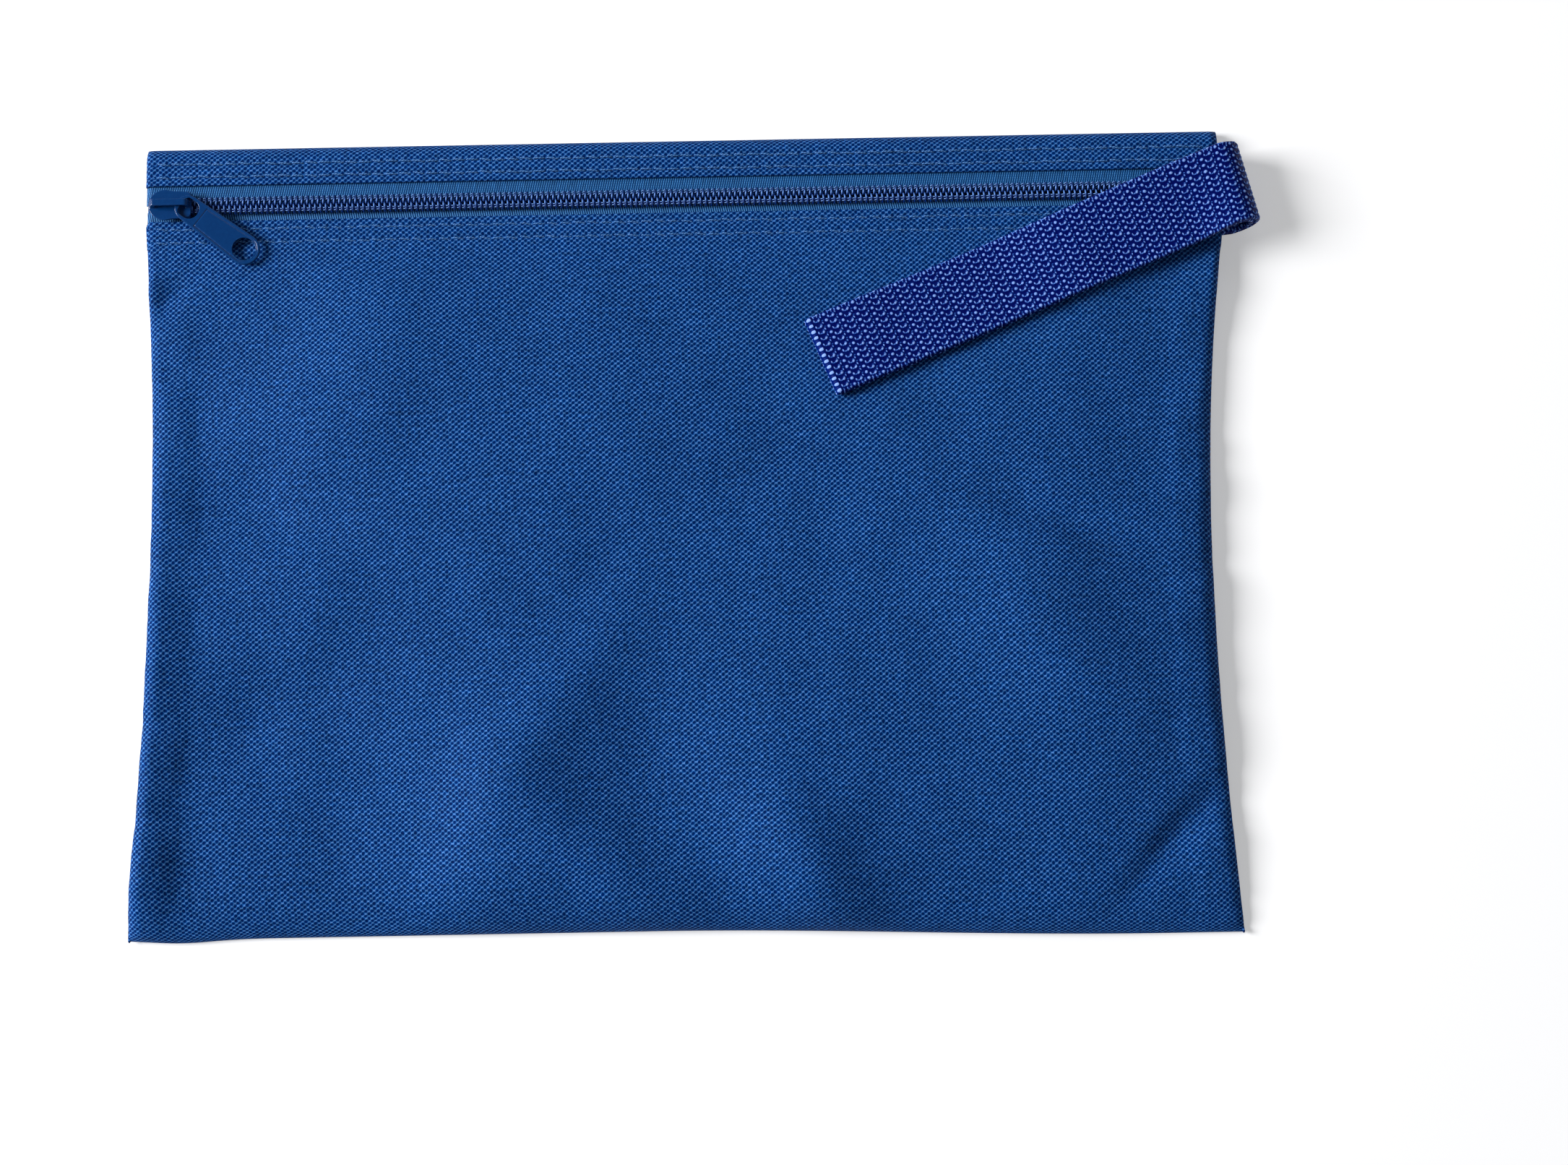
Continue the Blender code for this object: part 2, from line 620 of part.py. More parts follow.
make_panels(
    material("front_cloth", CLOTH_BLUE, 0.75),
    material("back_cloth", CLOTH_BLUE, 0.75),
    material("flap_cloth", CLOTH_BLUE, 0.75),
)
make_seams(material("seam_cloth", CLOTH_BLUE, 0.8), material("seam_thread", THREAD_BLUE, 0.6))
for half, toward, holder, edge_row, end_row in (
    ("upper", 1, mouth, FLAP_EDGE + INNER_ROW, UPPER_TAPE_END - UPPER_OUTER_ROW),
    ("lower", -1, bag, HEM_EDGE - INNER_ROW, LOWER_TAPE_END + LOWER_OUTER_ROW),
):
    zip_finishes = (
        material(half + "_tape", TAPE_BLUE, 0.55),
        material(half + "_coil", COIL_NAVY, 0.3),
        material(half + "_cord", COIL_NAVY, 0.7),
        material(half + "_thread", THREAD_BLUE, 0.6),
    )
    make_zip_half(half, toward, holder, edge_row, end_row, zip_finishes)
make_slider(material("slider_enamel", ENAMEL_BLUE, 0.22, 0.2))
make_pull(material("pull_enamel", ENAMEL_BLUE, 0.22, 0.2))
make_strap(
    material("root_webbing", WEBBING_BLUE, 0.6),
    material("bend_webbing", WEBBING_BLUE, 0.6),
)
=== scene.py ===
"""Looks of a flat zip pouch with a wrist loop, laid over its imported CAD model.

Points are in millimetres in the bag's own frame, whose x starts at the middle of the bag.
They become metres in the row frame when a mesh is made from them.
"""

import json
import math

import bpy
import numpy as np
from mathutils import Euler, Matrix, Vector, noise


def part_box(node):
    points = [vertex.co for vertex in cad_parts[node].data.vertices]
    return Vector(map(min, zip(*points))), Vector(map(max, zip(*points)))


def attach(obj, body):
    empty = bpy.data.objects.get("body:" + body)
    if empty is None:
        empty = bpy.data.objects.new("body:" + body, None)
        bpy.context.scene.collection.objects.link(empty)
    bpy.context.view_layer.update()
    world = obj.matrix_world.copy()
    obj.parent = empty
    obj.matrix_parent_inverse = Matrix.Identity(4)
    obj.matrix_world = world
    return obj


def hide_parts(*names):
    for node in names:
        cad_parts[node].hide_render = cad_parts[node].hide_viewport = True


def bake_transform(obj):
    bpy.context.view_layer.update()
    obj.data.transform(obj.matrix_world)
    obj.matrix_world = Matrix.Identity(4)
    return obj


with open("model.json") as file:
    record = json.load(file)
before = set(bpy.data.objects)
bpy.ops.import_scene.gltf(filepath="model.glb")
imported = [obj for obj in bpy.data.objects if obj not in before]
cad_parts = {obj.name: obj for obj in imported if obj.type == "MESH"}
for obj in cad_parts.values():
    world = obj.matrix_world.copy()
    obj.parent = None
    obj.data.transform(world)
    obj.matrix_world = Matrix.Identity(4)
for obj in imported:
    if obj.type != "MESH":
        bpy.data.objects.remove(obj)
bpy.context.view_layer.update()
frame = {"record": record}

MM = 0.001
PI = math.pi

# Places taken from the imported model
BAG_X = sum(corner.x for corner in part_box("back_panel")) / 2 / MM


def span(node):
    """Lowest and highest corner of a CAD node, in millimetres in the bag's frame."""
    return [np.array(corner) / MM - (BAG_X, 0, 0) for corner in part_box(node)]


def joint(name):
    """A joint of the record."""
    return next(row for row in frame["record"]["behaviour"]["joints"] if row["name"] == name)


def joint_place(name):
    """Where a joint turns, in millimetres in the bag's frame."""
    return np.array(joint(name)["pos_m"]) / MM - (BAG_X, 0, 0)


TOP = span("back_panel")[1][1]
FLAP_EDGE, LIP_Z = span("top_flap")[0][1:]
HEM_EDGE = span("front_panel")[1][1]
HEM_TOP = span("top_flap")[1][2]
CROWN_TOP = span("front_panel")[1][2]
LIP_START = span("upper_zipper_tape")[1][1]
COIL_LOW = span("upper_coil")[0][2]
COIL_TOP = span("upper_coil")[1][2]
CHAIN_Y = (span("upper_coil")[0][1] + span("lower_coil")[1][1]) / 2
COIL_OUT = span("upper_coil")[1][1] - CHAIN_Y
COIL_MIDDLE = (COIL_LOW + COIL_TOP) / 2
TAPE_LOW, TAPE_TOP = (corner[2] for corner in span("upper_zipper_tape"))
LOWER_TAPE_END = span("lower_zipper_tape")[0][1]
TAPE_EDGE = span("upper_zipper_tape")[0][1] - CHAIN_Y
ROW_Y = {
    row: sum(corner[1] for corner in span(row + "_topstitch")) / 2
    for row in ("upper_outer", "upper_inner", "lower_inner", "lower_outer")
}
ROOT_LOW, ROOT_HIGH = span("strap_root")
SLIDER_LOW, SLIDER_HIGH = span("slider_body")
PULL_PIVOT = joint_place("pull_flip")
FOLD = joint_place("strap_swing")

# Cloth
CLOTH = 0.45
HEM_RADIUS = (HEM_TOP - COIL_LOW) / 2
SEAM_Z = 2.3
SIDE_TOP = 4.6
SIDE_ROLL = 3.0
FRONT_ROLL = 5.5
SIDE_RUN = 55.0
BOTTOM_RUN = 22.0
BOTTOM_Z = 1.2
ZIP_LEVEL = 24.0
ZIP_RUN = 40.0
SETTLE_SINK = 0.3
SETTLE_PAST = 0.4


def smooth(share):
    """0 to 1 with level ends."""
    share = np.clip(share, 0, 1)
    return share * share * (3 - 2 * share)


def mix(first, second, share):
    """From the first value to the second."""
    return first + (second - first) * share


def quarter(share):
    """0 to 1 along a quarter of a circle that starts steep and ends level."""
    return np.sqrt(1 - (1 - np.clip(share, 0, 1)) ** 2)


def bell(distance, reach):
    """1 at a place, falling to nothing a reach or two away."""
    return np.exp(-((distance / reach) ** 2))


def rough(x, y, size, seed):
    """Soft noise from -1 to 1 over places whose swings are about a size apart."""
    flat_x, flat_y = np.broadcast_arrays(np.asarray(x, float), np.asarray(y, float))
    places = zip(flat_x.ravel() / size, flat_y.ravel() / size)
    values = [noise.noise((a, b, seed * 7.31)) for a, b in places]
    return np.array(values).reshape(flat_x.shape)


def joined(*parts):
    """Points from their parts, any of which may be one value for all points."""
    return np.stack(np.broadcast_arrays(*parts), axis=1)


# Outline of the bag as it lies: where each side is drawn in, and how far it spreads from there over a run
LEFT_WAIST = 160.5
LEFT_SPREAD = 3.75
LEFT_RUN = 100
LEFT_ENDS = (-113, 95)
RIGHT_WAIST = 158.3
RIGHT_WAIST_Y = -15
UPPER_SPREAD = 6.7
UPPER_RUN = 99
LOWER_SPREAD = 4.8
LOWER_RUN = 105
BOTTOM_LEVEL = -120.3
BOTTOM_DROP = 3.2
DROP_START = -10
DROP_RUN = 150
BULGE_X = -150
BULGE_REACH = 13
BULGE_DROP = 1.0
# How far the right seam stands open past both edges of the wrist loop
GAP_PAST = 5
GAP_RUN = 7
GAP_START = 120
GAP_GROW = 30


def left_edge(y):
    """The left side: drawn in at the middle, and widest near the bottom corner."""
    return -(LEFT_WAIST + LEFT_SPREAD * (np.clip(y, *LEFT_ENDS) / LEFT_RUN) ** 2)


def right_edge(y):
    """The right side: drawn in further than the left, and widest at the wrist loop."""
    above = np.clip((y - RIGHT_WAIST_Y) / UPPER_RUN, 0, 1)
    below = np.clip((RIGHT_WAIST_Y - y) / LOWER_RUN, 0, 1)
    return RIGHT_WAIST + UPPER_SPREAD * above ** 2 + LOWER_SPREAD * below ** 2


def bottom_edge(x):
    """The bottom fold: a little lower to the right, with a small bulge at the left corner."""
    bulge = BULGE_DROP * bell(x - BULGE_X, BULGE_REACH)
    return BOTTOM_LEVEL - BOTTOM_DROP * smooth((x - DROP_START) / DROP_RUN) - bulge


def from_side(x, y):
    """How far a place is inside the nearer side seam."""
    return np.minimum(x - left_edge(y), right_edge(y) - x)


def seam_gap(x, y):
    """How far the right seam stands open round the wrist loop, from 0 to 1."""
    above = smooth((y - ROOT_LOW[1] + GAP_PAST) / GAP_RUN)
    below = smooth((ROOT_HIGH[1] + GAP_PAST - y) / GAP_RUN)
    return above * below * smooth((x - GAP_START) / GAP_GROW)


def seam_top(x, y):
    """Height at which the front meets the side seam."""
    return mix(SEAM_Z, ROOT_HIGH[2] + CLOTH + 0.25, seam_gap(x, y))


def seam_bottom(x, y):
    """Height at which the back meets the side seam."""
    return mix(SEAM_Z - 0.1, ROOT_LOW[2] - CLOTH, seam_gap(x, y))


# Each soft fold of the front, set from how it looks in the photograph:
# middle x and y, half length, half width, turn in degrees and height
FOLDS = (
    # The lower front sinks a little, most to the left, so that its folds stay about as high as the crown
    (10, -75, 110, 50, 0, -1.2),
    (-102, -88, 44, 26, 90, -2.4),
    # The bent ridge left of the middle: its upper arm, its lower arm and the swell that carries them
    (-42, -60, 30, 13, 52, 1.8),
    (-20, -106, 42, 15, -42, 3.6),
    (-52, -90, 44, 20, 82, 2.6),
    # The ridge to the right of it, and the broad swell that falls away beyond
    (36, -103, 32, 14, -61, 3.8),
    (40, -76, 50, 38, -60, 2.6),
    # Hollows that slant in from the left seam, low down and near the middle
    (-116, -50, 34, 13, 27, -1.8),
    (-128, 6, 30, 10, -16, -2.0),
    # The swell below the pull with its long easy fall to the right, and the crease between it and the seam
    (-92, 62, 40, 26, 90, 2.6),
    (-35, 40, 70, 50, 90, 2.0),
    (-155, 72, 10, 3.5, 49, -1.5),
    # The slanting ridge on the right, and the crease across its upper end
    (104, -28, 40, 19, -49, 2.8),
    (112, 0, 24, 6, -23, -1.7),
    # Both sides are full along their seams, the left most of all near the middle and near the bottom
    (-162, -45, 85, 26, 90, 3.0),
    (-160, -31, 42, 8, 90, 1.4),
    (-161, -104, 30, 10, 88, 2.8),
    (146, -32, 60, 34, 90, 2.6),
    # The front is fuller under the wrist loop
    (126, 77, 24, 12, 22, 1.7),
    # Short creases that run in from the right seam near the bottom
    (147, -92, 19, 4, 48, -1.3),
    (138, -100, 19, 4, 50, -0.8),
)
FOLD_GAIN = 1.45
# The folds fade out below the hem and under the pull
FADE_BELOW = 9
FADE_RUN = 16
PULL_REST = (-132, 86)
PULL_REACH = (20, 13)
# The front rises in a shelf over the seam allowance, whose height wanders
SEAM_RIDGE = 13.0
SHELF_RISE = 0.38
SHELF_SWING = 0.6
SHELF_SOFT = 6
# Each set of puckers along the side seams: height, share of x that counts, size and seed
PUCKERS = ((1.1, 0.25, 7, 1), (0.7, 0.4, 3.6, 2))
PUCKER_REACH = 9
UNEVEN = 0.4
UNEVEN_SIZE = 17
UNEVEN_START = 12
# The front stays above the seam allowances, and eases towards this height
FRONT_LOW = 4.1
LOW_EASE = 0.2
# Stitches draw the cloth into a groove, with slanting puckers beside it
STITCH = 4.1
GROOVE = 0.50
GROOVE_REACH = 0.65
DRAW = 0.15
DRAW_SLANT = 0.8
DRAW_REACH = 2.2


def stitch_draw(x, y, rows):
    """How far rows of stitches draw the cloth in: a groove, and slanting puckers beside it."""
    draw = 0.0
    for row in rows:
        away = y - ROW_Y[row]
        draw = draw - GROOVE * bell(away, GROOVE_REACH)
        slant = x - DRAW_SLANT * np.abs(away)
        draw = draw + DRAW * np.sin(2 * PI * slant / STITCH) * bell(away, DRAW_REACH)
    return draw


def front_top(x, y):
    """Height of the front's outer face."""
    side = from_side(x, y)
    rise = y - bottom_edge(x)
    to_zip = smooth((y - (HEM_EDGE - ZIP_LEVEL - ZIP_RUN)) / ZIP_RUN)
    crown = mix(CROWN_TOP, HEM_TOP, to_zip)
    edge = mix(SIDE_TOP, HEM_TOP, to_zip)
    level = mix(edge, crown, smooth(side / SIDE_RUN))
    free = FOLD_GAIN * smooth((HEM_EDGE - FADE_BELOW - y) / FADE_RUN)
    free = free * (1 - bell(x - PULL_REST[0], PULL_REACH[0]) * bell(y - PULL_REST[1], PULL_REACH[1]))
    for fold_x, fold_y, length, width, turn, height in FOLDS:
        c, s = math.cos(math.radians(turn)), math.sin(math.radians(turn))
        along = (x - fold_x) * c + (y - fold_y) * s
        across = (y - fold_y) * c - (x - fold_x) * s
        level = level + free * height * bell(along, length) * bell(across, width)
    shelf = SHELF_RISE + SHELF_SWING * rough(x * 0, y, 19, 6)
    level = level + free * shelf * smooth((SEAM_RIDGE + SHELF_SOFT / 2 - side) / SHELF_SOFT)
    pucker = sum(height * rough(x * share, y, size, seed) for height, share, size, seed in PUCKERS)
    level = level + free * pucker * np.exp(-side / PUCKER_REACH)
    level = level + free * UNEVEN * rough(x, y, UNEVEN_SIZE, 3) * smooth(side / UNEVEN_START)
    above = level - FRONT_LOW
    level = FRONT_LOW + above / 2 + np.sqrt((above / 2) ** 2 + LOW_EASE)
    level = level + stitch_draw(x, y, ("lower_inner", "lower_outer"))
    base = mix(BOTTOM_Z, seam_top(x, y), smooth(rise / BOTTOM_RUN))
    roll = mix(FRONT_ROLL, SIDE_ROLL, to_zip)
    return base + (level - base) * quarter(side / roll) * quarter(rise / BOTTOM_RUN)


def back_bottom(x, y):
    """Height of the back's outer face: flat on the table, turned up at the edges."""
    rise = y - bottom_edge(x)
    up_side = seam_bottom(x, y) * (1 - quarter(from_side(x, y) / SIDE_ROLL))
    up_fold = BOTTOM_Z * (1 - quarter(rise / BOTTOM_Z))
    return np.maximum(up_side, up_fold)


def settle(points):
    """Bring the ends of the zip down to the side seams."""
    points = np.array(points, float)
    x, y, z = points[..., 0], points[..., 1], points[..., 2]
    base = seam_top(x, y) - SETTLE_SINK
    points[..., 2] = base + (z - base) * quarter((from_side(x, y) + SETTLE_PAST) / SIDE_ROLL)
    return points


class Shape:
    """Points, faces and laid-flat places gathered for one piece."""

    def __init__(self):
        """Start with nothing."""
        self.points, self.flat, self.faces, self.rise = [], [], [], []
        self.crisp = []
        self.count = 0

    def add(self, points, faces, flat=None, rise=None, crisp=0):
        """Take in points and faces, the last few of which keep sharp edges."""
        points = np.reshape(points, (-1, 3))
        self.points.append(points)
        self.flat.append(points[:, :2] if flat is None else np.reshape(flat, (-1, 2)))
        self.rise.append(np.zeros(len(points)) if rise is None else np.reshape(rise, -1))
        self.faces += [[corner + self.count for corner in face] for face in faces]
        self.crisp += [False] * (len(faces) - crisp) + [True] * crisp
        self.count += len(points)

    def piece(self, name, finish):
        """Make the mesh object."""
        mesh = bpy.data.meshes.new(name)
        points = (np.concatenate(self.points) + (BAG_X, 0, 0)) * MM
        mesh.from_pydata(points.tolist(), [], self.faces)
        mesh.polygons.foreach_set("use_smooth", [True] * len(mesh.polygons))
        for face in np.flatnonzero(self.crisp):
            for key in mesh.polygons[face].loop_indices:
                mesh.edges[mesh.loops[key].edge_index].use_edge_sharp = True
        corners = np.empty(len(mesh.loops), np.int32)
        mesh.loops.foreach_get("vertex_index", corners)
        flat = np.concatenate(self.flat)[corners]
        mesh.uv_layers.new(name="flat").data.foreach_set("uv", flat.astype(np.float32).ravel())
        rise = mesh.attributes.new("rise", "FLOAT", "POINT")
        rise.data.foreach_set("value", np.concatenate(self.rise).astype(np.float32))
        mesh.materials.append(finish)
        mesh.update()
        thing = bpy.data.objects.new(name, mesh)
        bpy.context.scene.collection.objects.link(thing)
        return thing

    def rider(self, name, finish, slot, body, *nodes):
        """Make the mesh object, on a body and in the place of some CAD nodes."""
        thing = self.piece(name, finish)
        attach(thing, body)
        if nodes:
            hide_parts(*nodes)
        return thing


def grid_faces(rows, columns, start=0, wrap=False, flip=False):
    """Four-sided faces over a grid of points, joined round if wrap is set."""
    last = columns if wrap else columns - 1
    row, column = np.meshgrid(np.arange(rows - 1), np.arange(last), indexing="ij")
    after = (column + 1) % columns
    here, below = row * columns, (row + 1) * columns
    corners = [here + column, below + column, below + after, here + after]
    faces = np.stack([corner.ravel() + start for corner in corners], axis=1)
    return (faces[:, ::-1] if flip else faces).tolist()


def grid_normals(grid, flip=False):
    """Unit vectors square to a grid of points."""
    down = np.gradient(grid, axis=0)
    across = np.gradient(grid, axis=1)
    normal = np.cross(down, across)
    normal /= np.maximum(np.linalg.norm(normal, axis=2, keepdims=True), 1e-9)
    return -normal if flip else normal


def add_shell(shape, grid, flat, thickness, flip=False, rise=None):
    """A cloth of some thickness whose outer face follows a grid of points."""
    rows, columns = grid.shape[:2]
    inner = grid - grid_normals(grid, flip) * thickness
    size = rows * columns
    faces = grid_faces(rows, columns, 0, flip=flip) + grid_faces(rows, columns, size, flip=not flip)
    rim = [(row, 0) for row in range(rows)] + [(rows - 1, column) for column in range(1, columns)]
    rim += [(row, columns - 1) for row in range(rows - 2, -1, -1)]
    rim += [(0, column) for column in range(columns - 2, 0, -1)]
    for (row, column), (next_row, next_column) in zip(rim, rim[1:] + rim[:1]):
        first = row * columns + column
        second = next_row * columns + next_column
        face = [second, first, first + size, second + size]
        faces.append(face[::-1] if flip else face)
    both = None if rise is None else np.stack([rise, np.zeros_like(rise)])
    shape.add(np.stack([grid, inner]), faces, np.stack([flat, flat]), both, len(rim))


def add_tube(shape, path, radius, sides, reference, along=None, rise=None):
    """A round thread or wire along a path, closed at both ends."""
    path = np.asarray(path, float)
    radius = np.broadcast_to(radius, (len(path), sides)) if np.ndim(radius) < 2 else radius
    ahead = np.gradient(path, axis=0)
    ahead /= np.linalg.norm(ahead, axis=1, keepdims=True)
    first = np.cross(ahead, reference)
    first /= np.linalg.norm(first, axis=1, keepdims=True)
    second = np.cross(ahead, first)
    turn = 2 * PI * np.arange(sides) / sides
    ring = first[:, None] * np.cos(turn)[None, :, None] + second[:, None] * np.sin(turn)[None, :, None]
    points = path[:, None] + ring * radius[:, :, None]
    faces = grid_faces(len(path), sides, wrap=True, flip=True)
    faces.append(list(range(sides)))
    faces.append(list(range((len(path) - 1) * sides, len(path) * sides))[::-1])
    if along is None:
        along = np.concatenate([[0], np.cumsum(np.linalg.norm(np.diff(path, axis=0), axis=1))])
    flat = np.stack(np.broadcast_arrays(along[:, None], turn[None, :] / (2 * PI)), axis=2)
    shape.add(points, faces, flat, None if rise is None else np.repeat(rise, sides))


class Finish:
    """A procedural material, built node by node."""

    def __init__(self, name, roughness, specular, **constants):
        """A plain shader, with any other constants by the names of their sockets."""
        self.material = bpy.data.materials.new(name)
        self.material.use_nodes = True
        self.tree = self.material.node_tree
        self.shader = self.tree.nodes["Principled BSDF"]
        self.shader.inputs["Roughness"].default_value = roughness
        self.shader.inputs["Specular IOR Level"].default_value = specular
        for socket, value in constants.items():
            self.shader.inputs[socket.replace("_", " ")].default_value = value

    def node(self, kind, **settings):
        """A new node with some of its settings."""
        made = self.tree.nodes.new("ShaderNode" + kind)
        for name, value in settings.items():
            setattr(made, name, value)
        return made

    def feed(self, socket, value):
        """Link a socket, or set it to a plain value."""
        if isinstance(value, bpy.types.NodeSocket):
            self.tree.links.new(value, socket)
        else:
            socket.default_value = value

    def math(self, operation, *values):
        """One step of arithmetic."""
        made = self.node("Math", operation=operation)
        for socket, value in zip(made.inputs, values):
            self.feed(socket, value)
        return made.outputs[0]

    def blend(self, share, first, second):
        """From the first colour to the second."""
        made = self.node("Mix", data_type="RGBA", blend_type="MIX")
        self.feed(made.inputs["Factor"], share)
        for name, colour in (("A", first), ("B", second)):
            socket = next(s for s in made.inputs if s.name == name and s.type == "RGBA")
            self.feed(socket, colour if isinstance(colour, bpy.types.NodeSocket) else (*colour, 1))
        return next(s for s in made.outputs if s.type == "RGBA")

    def ramp(self, value, stops):
        """A colour, or a grey, that changes with a value through some stops."""
        made = self.node("ValToRGB")
        while len(made.color_ramp.elements) < len(stops):
            made.color_ramp.elements.new(0.5)
        for element, (place, colour) in zip(made.color_ramp.elements, stops):
            element.position = place
            element.color = (*colour, 1) if hasattr(colour, "__len__") else (colour, colour, colour, 1)
        self.feed(made.inputs["Fac"], value)
        return made.outputs["Color"]

    def flat(self, turn=0.0):
        """The two places on the laid-flat cloth, in millimetres, turned by some degrees."""
        made = self.node("UVMap", uv_map="flat")
        parts = self.node("SeparateXYZ")
        self.feed(parts.inputs[0], made.outputs["UV"])
        u, v = parts.outputs[0], parts.outputs[1]
        return self.turned(u, v, turn) if turn else (u, v)

    def turned(self, u, v, turn):
        """Two places seen along axes turned by some degrees."""
        c, s = math.cos(math.radians(turn)), math.sin(math.radians(turn))
        turned_u = self.math("ADD", self.math("MULTIPLY", u, c), self.math("MULTIPLY", v, s))
        turned_v = self.math("SUBTRACT", self.math("MULTIPLY", v, c), self.math("MULTIPLY", u, s))
        return turned_u, turned_v

    def wave(self, place, length, shift=0.0):
        """A cosine along a place, from -1 to 1."""
        return self.math("COSINE", self.math("MULTIPLY_ADD", place, 2 * PI / length, shift))

    def nearest(self, place, length, shift=0.0):
        """How far a place is from the nearest of a row of places a length apart."""
        return self.math("WRAP", self.math("ADD", place, shift * length), length / 2, -length / 2)

    def cloud(self, place, scale, detail=2.0):
        """A noise node over some places."""
        made = self.node("TexNoise")
        self.feed(made.inputs["Vector"], place)
        made.inputs["Scale"].default_value = scale
        made.inputs["Detail"].default_value = detail
        return made

    def pair(self, u, v):
        """Two places as one vector."""
        made = self.node("CombineXYZ")
        self.feed(made.inputs[0], u)
        self.feed(made.inputs[1], v)
        return made.outputs[0]

    def noise(self, u, v, scale_u, scale_v, detail=2.0):
        """Noise from 0 to 1 with its own scale each way."""
        place = self.pair(self.math("MULTIPLY", u, scale_u), self.math("MULTIPLY", v, scale_v))
        return self.cloud(place, 1.0, detail).outputs["Fac"]

    def stray(self, u, v, scale, reach_u, reach_v):
        """Move two places a little by noise, for yarns that don't lie quite straight."""
        parts = self.node("SeparateColor")
        self.feed(parts.inputs[0], self.cloud(self.pair(u, v), scale).outputs["Color"])
        u = self.math("MULTIPLY_ADD", self.math("SUBTRACT", parts.outputs[0], 0.5), reach_u, u)
        v = self.math("MULTIPLY_ADD", self.math("SUBTRACT", parts.outputs[1], 0.5), reach_v, v)
        return u, v

    def rise(self):
        """A value kept on the mesh: the height of a modelled rib, or a mask of painted highlight or painted
        light.
        """
        return self.node("Attribute", attribute_name="rise").outputs["Fac"]

    def swing(self, value, low, high):
        """Bring a value between 0 and 1 to a range of its own."""
        return self.math("MULTIPLY_ADD", value, high - low, low)

    def scale(self, colour, amount):
        """A colour made darker or lighter by an amount."""
        made = self.node("VectorMath", operation="SCALE")
        self.feed(made.inputs[0], colour)
        self.feed(made.inputs["Scale"], amount)
        return made.outputs[0]

    def done(self, colour, height=None, depth=0.1, roughness=None):
        """Link the colour, the bump in millimetres and the roughness."""
        self.feed(self.shader.inputs["Base Color"], colour)
        if height is not None:
            made = self.node("Bump")
            made.inputs["Distance"].default_value = depth * MM
            self.feed(made.inputs["Height"], height)
            self.feed(self.shader.inputs["Normal"], made.outputs["Normal"])
        if roughness is not None:
            self.feed(self.shader.inputs["Roughness"], roughness)
        return self.material


# Weave: how far apart the gaps are each way, how far from a gap the palest yarn is, where it is painted with
# highlights, and its turn in degrees
SPOT_LONG = 1.85
SPOT_TALL = 1.54
SPOT_FAR = 0.8
WEAVE_TURN = 2.0
# Each wander of the yarns: how fine it is and how far it goes
WEAVE_STRAY = ((0.5, 0.6), (1.3, 0.4))
SLANT_REACH = -0.045


def woven(name, light=1.0):
    """Plain weave: round gaps on a staggered net, darkened with painted shade, and yarn, level and slanting,
    between them, painted paler with highlights away from the gaps.
    """
    finish = Finish(name, 0.6, 0.02)
    u, v = finish.flat(WEAVE_TURN)
    for scale, reach in WEAVE_STRAY:
        u, v = finish.stray(u, v, scale, reach, reach)
    near = []
    for shift in (0.0, 0.5):
        away_u = finish.nearest(u, SPOT_LONG, shift)
        away_v = finish.nearest(v, SPOT_TALL, shift)
        square = finish.math("MULTIPLY_ADD", away_u, away_u, finish.math("MULTIPLY", away_v, away_v))
        near.append(finish.math("SQRT", square))
    away = finish.math("MINIMUM", *near)
    gaps_u = finish.math("MULTIPLY", u, 1 / SPOT_LONG)
    gaps_v = finish.math("MULTIPLY", v, 1 / SPOT_TALL)
    slant = finish.math("SUBTRACT", gaps_u, gaps_v)
    away = finish.math("MULTIPLY_ADD", finish.wave(slant, 1.0), SLANT_REACH, away)
    place = finish.math("MULTIPLY", away, 1 / SPOT_FAR)
    # The weave's own pattern, with painted shade in the gaps and painted highlights on the yarn farthest from
    # them
    yarn = finish.ramp(place, (
        (0.0, (0.0, 0.010, 0.095)),
        (0.40, (0.0, 0.017, 0.118)),
        (0.60, (0.001, 0.052, 0.224)),
        (0.78, (0.029, 0.132, 0.396)),
        (0.96, (0.106, 0.247, 0.576)),
    ))
    weft_yarn = finish.noise(u, v, 0.08, 2 / SPOT_TALL)
    warp_yarn = finish.noise(u, v, 2 / SPOT_LONG, 0.08)
    spot = finish.noise(u, v, 0.75, 0.75)
    broad = finish.noise(u, v, 0.03, 0.03, 3)
    tone = finish.math("ADD", finish.swing(weft_yarn, -0.3, 0.3), finish.swing(warp_yarn, -0.2, 0.2))
    tone = finish.math("ADD", tone, finish.swing(spot, -0.7, 0.7))
    tone = finish.math("ADD", tone, finish.swing(broad, light - 0.16, light + 0.16))
    height = finish.ramp(place, ((0.3, 0.0), (0.8, 1.0)))
    return finish.done(finish.scale(yarn, tone), height, 0.05)


RIB_PITCH = 0.69
TAPE_PICK = 0.42


def ribbed(name):
    """Zip tape: fine upright ribs with a satin sheen, painted pale on their crests and dark between them as
    painted highlight and painted shade.
    """
    finish = Finish(name, 0.5, 0.1)
    u, v = finish.flat()
    # Painted highlight and shade: the ribs' crests, kept on the mesh, are painted pale and the hollows
    # between them dark
    colour = finish.ramp(finish.rise(), (
        (0.0, (0.0, 0.020, 0.115)),
        (0.45, (0.001, 0.052, 0.195)),
        (0.75, (0.035, 0.175, 0.43)),
        (1.0, (0.140, 0.405, 0.79)),
    ))
    fibre = finish.noise(u, v, 4.0, 0.6, 3)
    single = finish.noise(u, v, 1 / RIB_PITCH, 0.25)
    pick = finish.wave(v, TAPE_PICK)
    height = finish.math("MULTIPLY_ADD", pick, 0.3, fibre)
    tone = finish.math("ADD", finish.swing(fibre, -0.3, 0.3), finish.swing(single, 0.5, 1.5))
    return finish.done(finish.scale(colour, tone), height, 0.05)


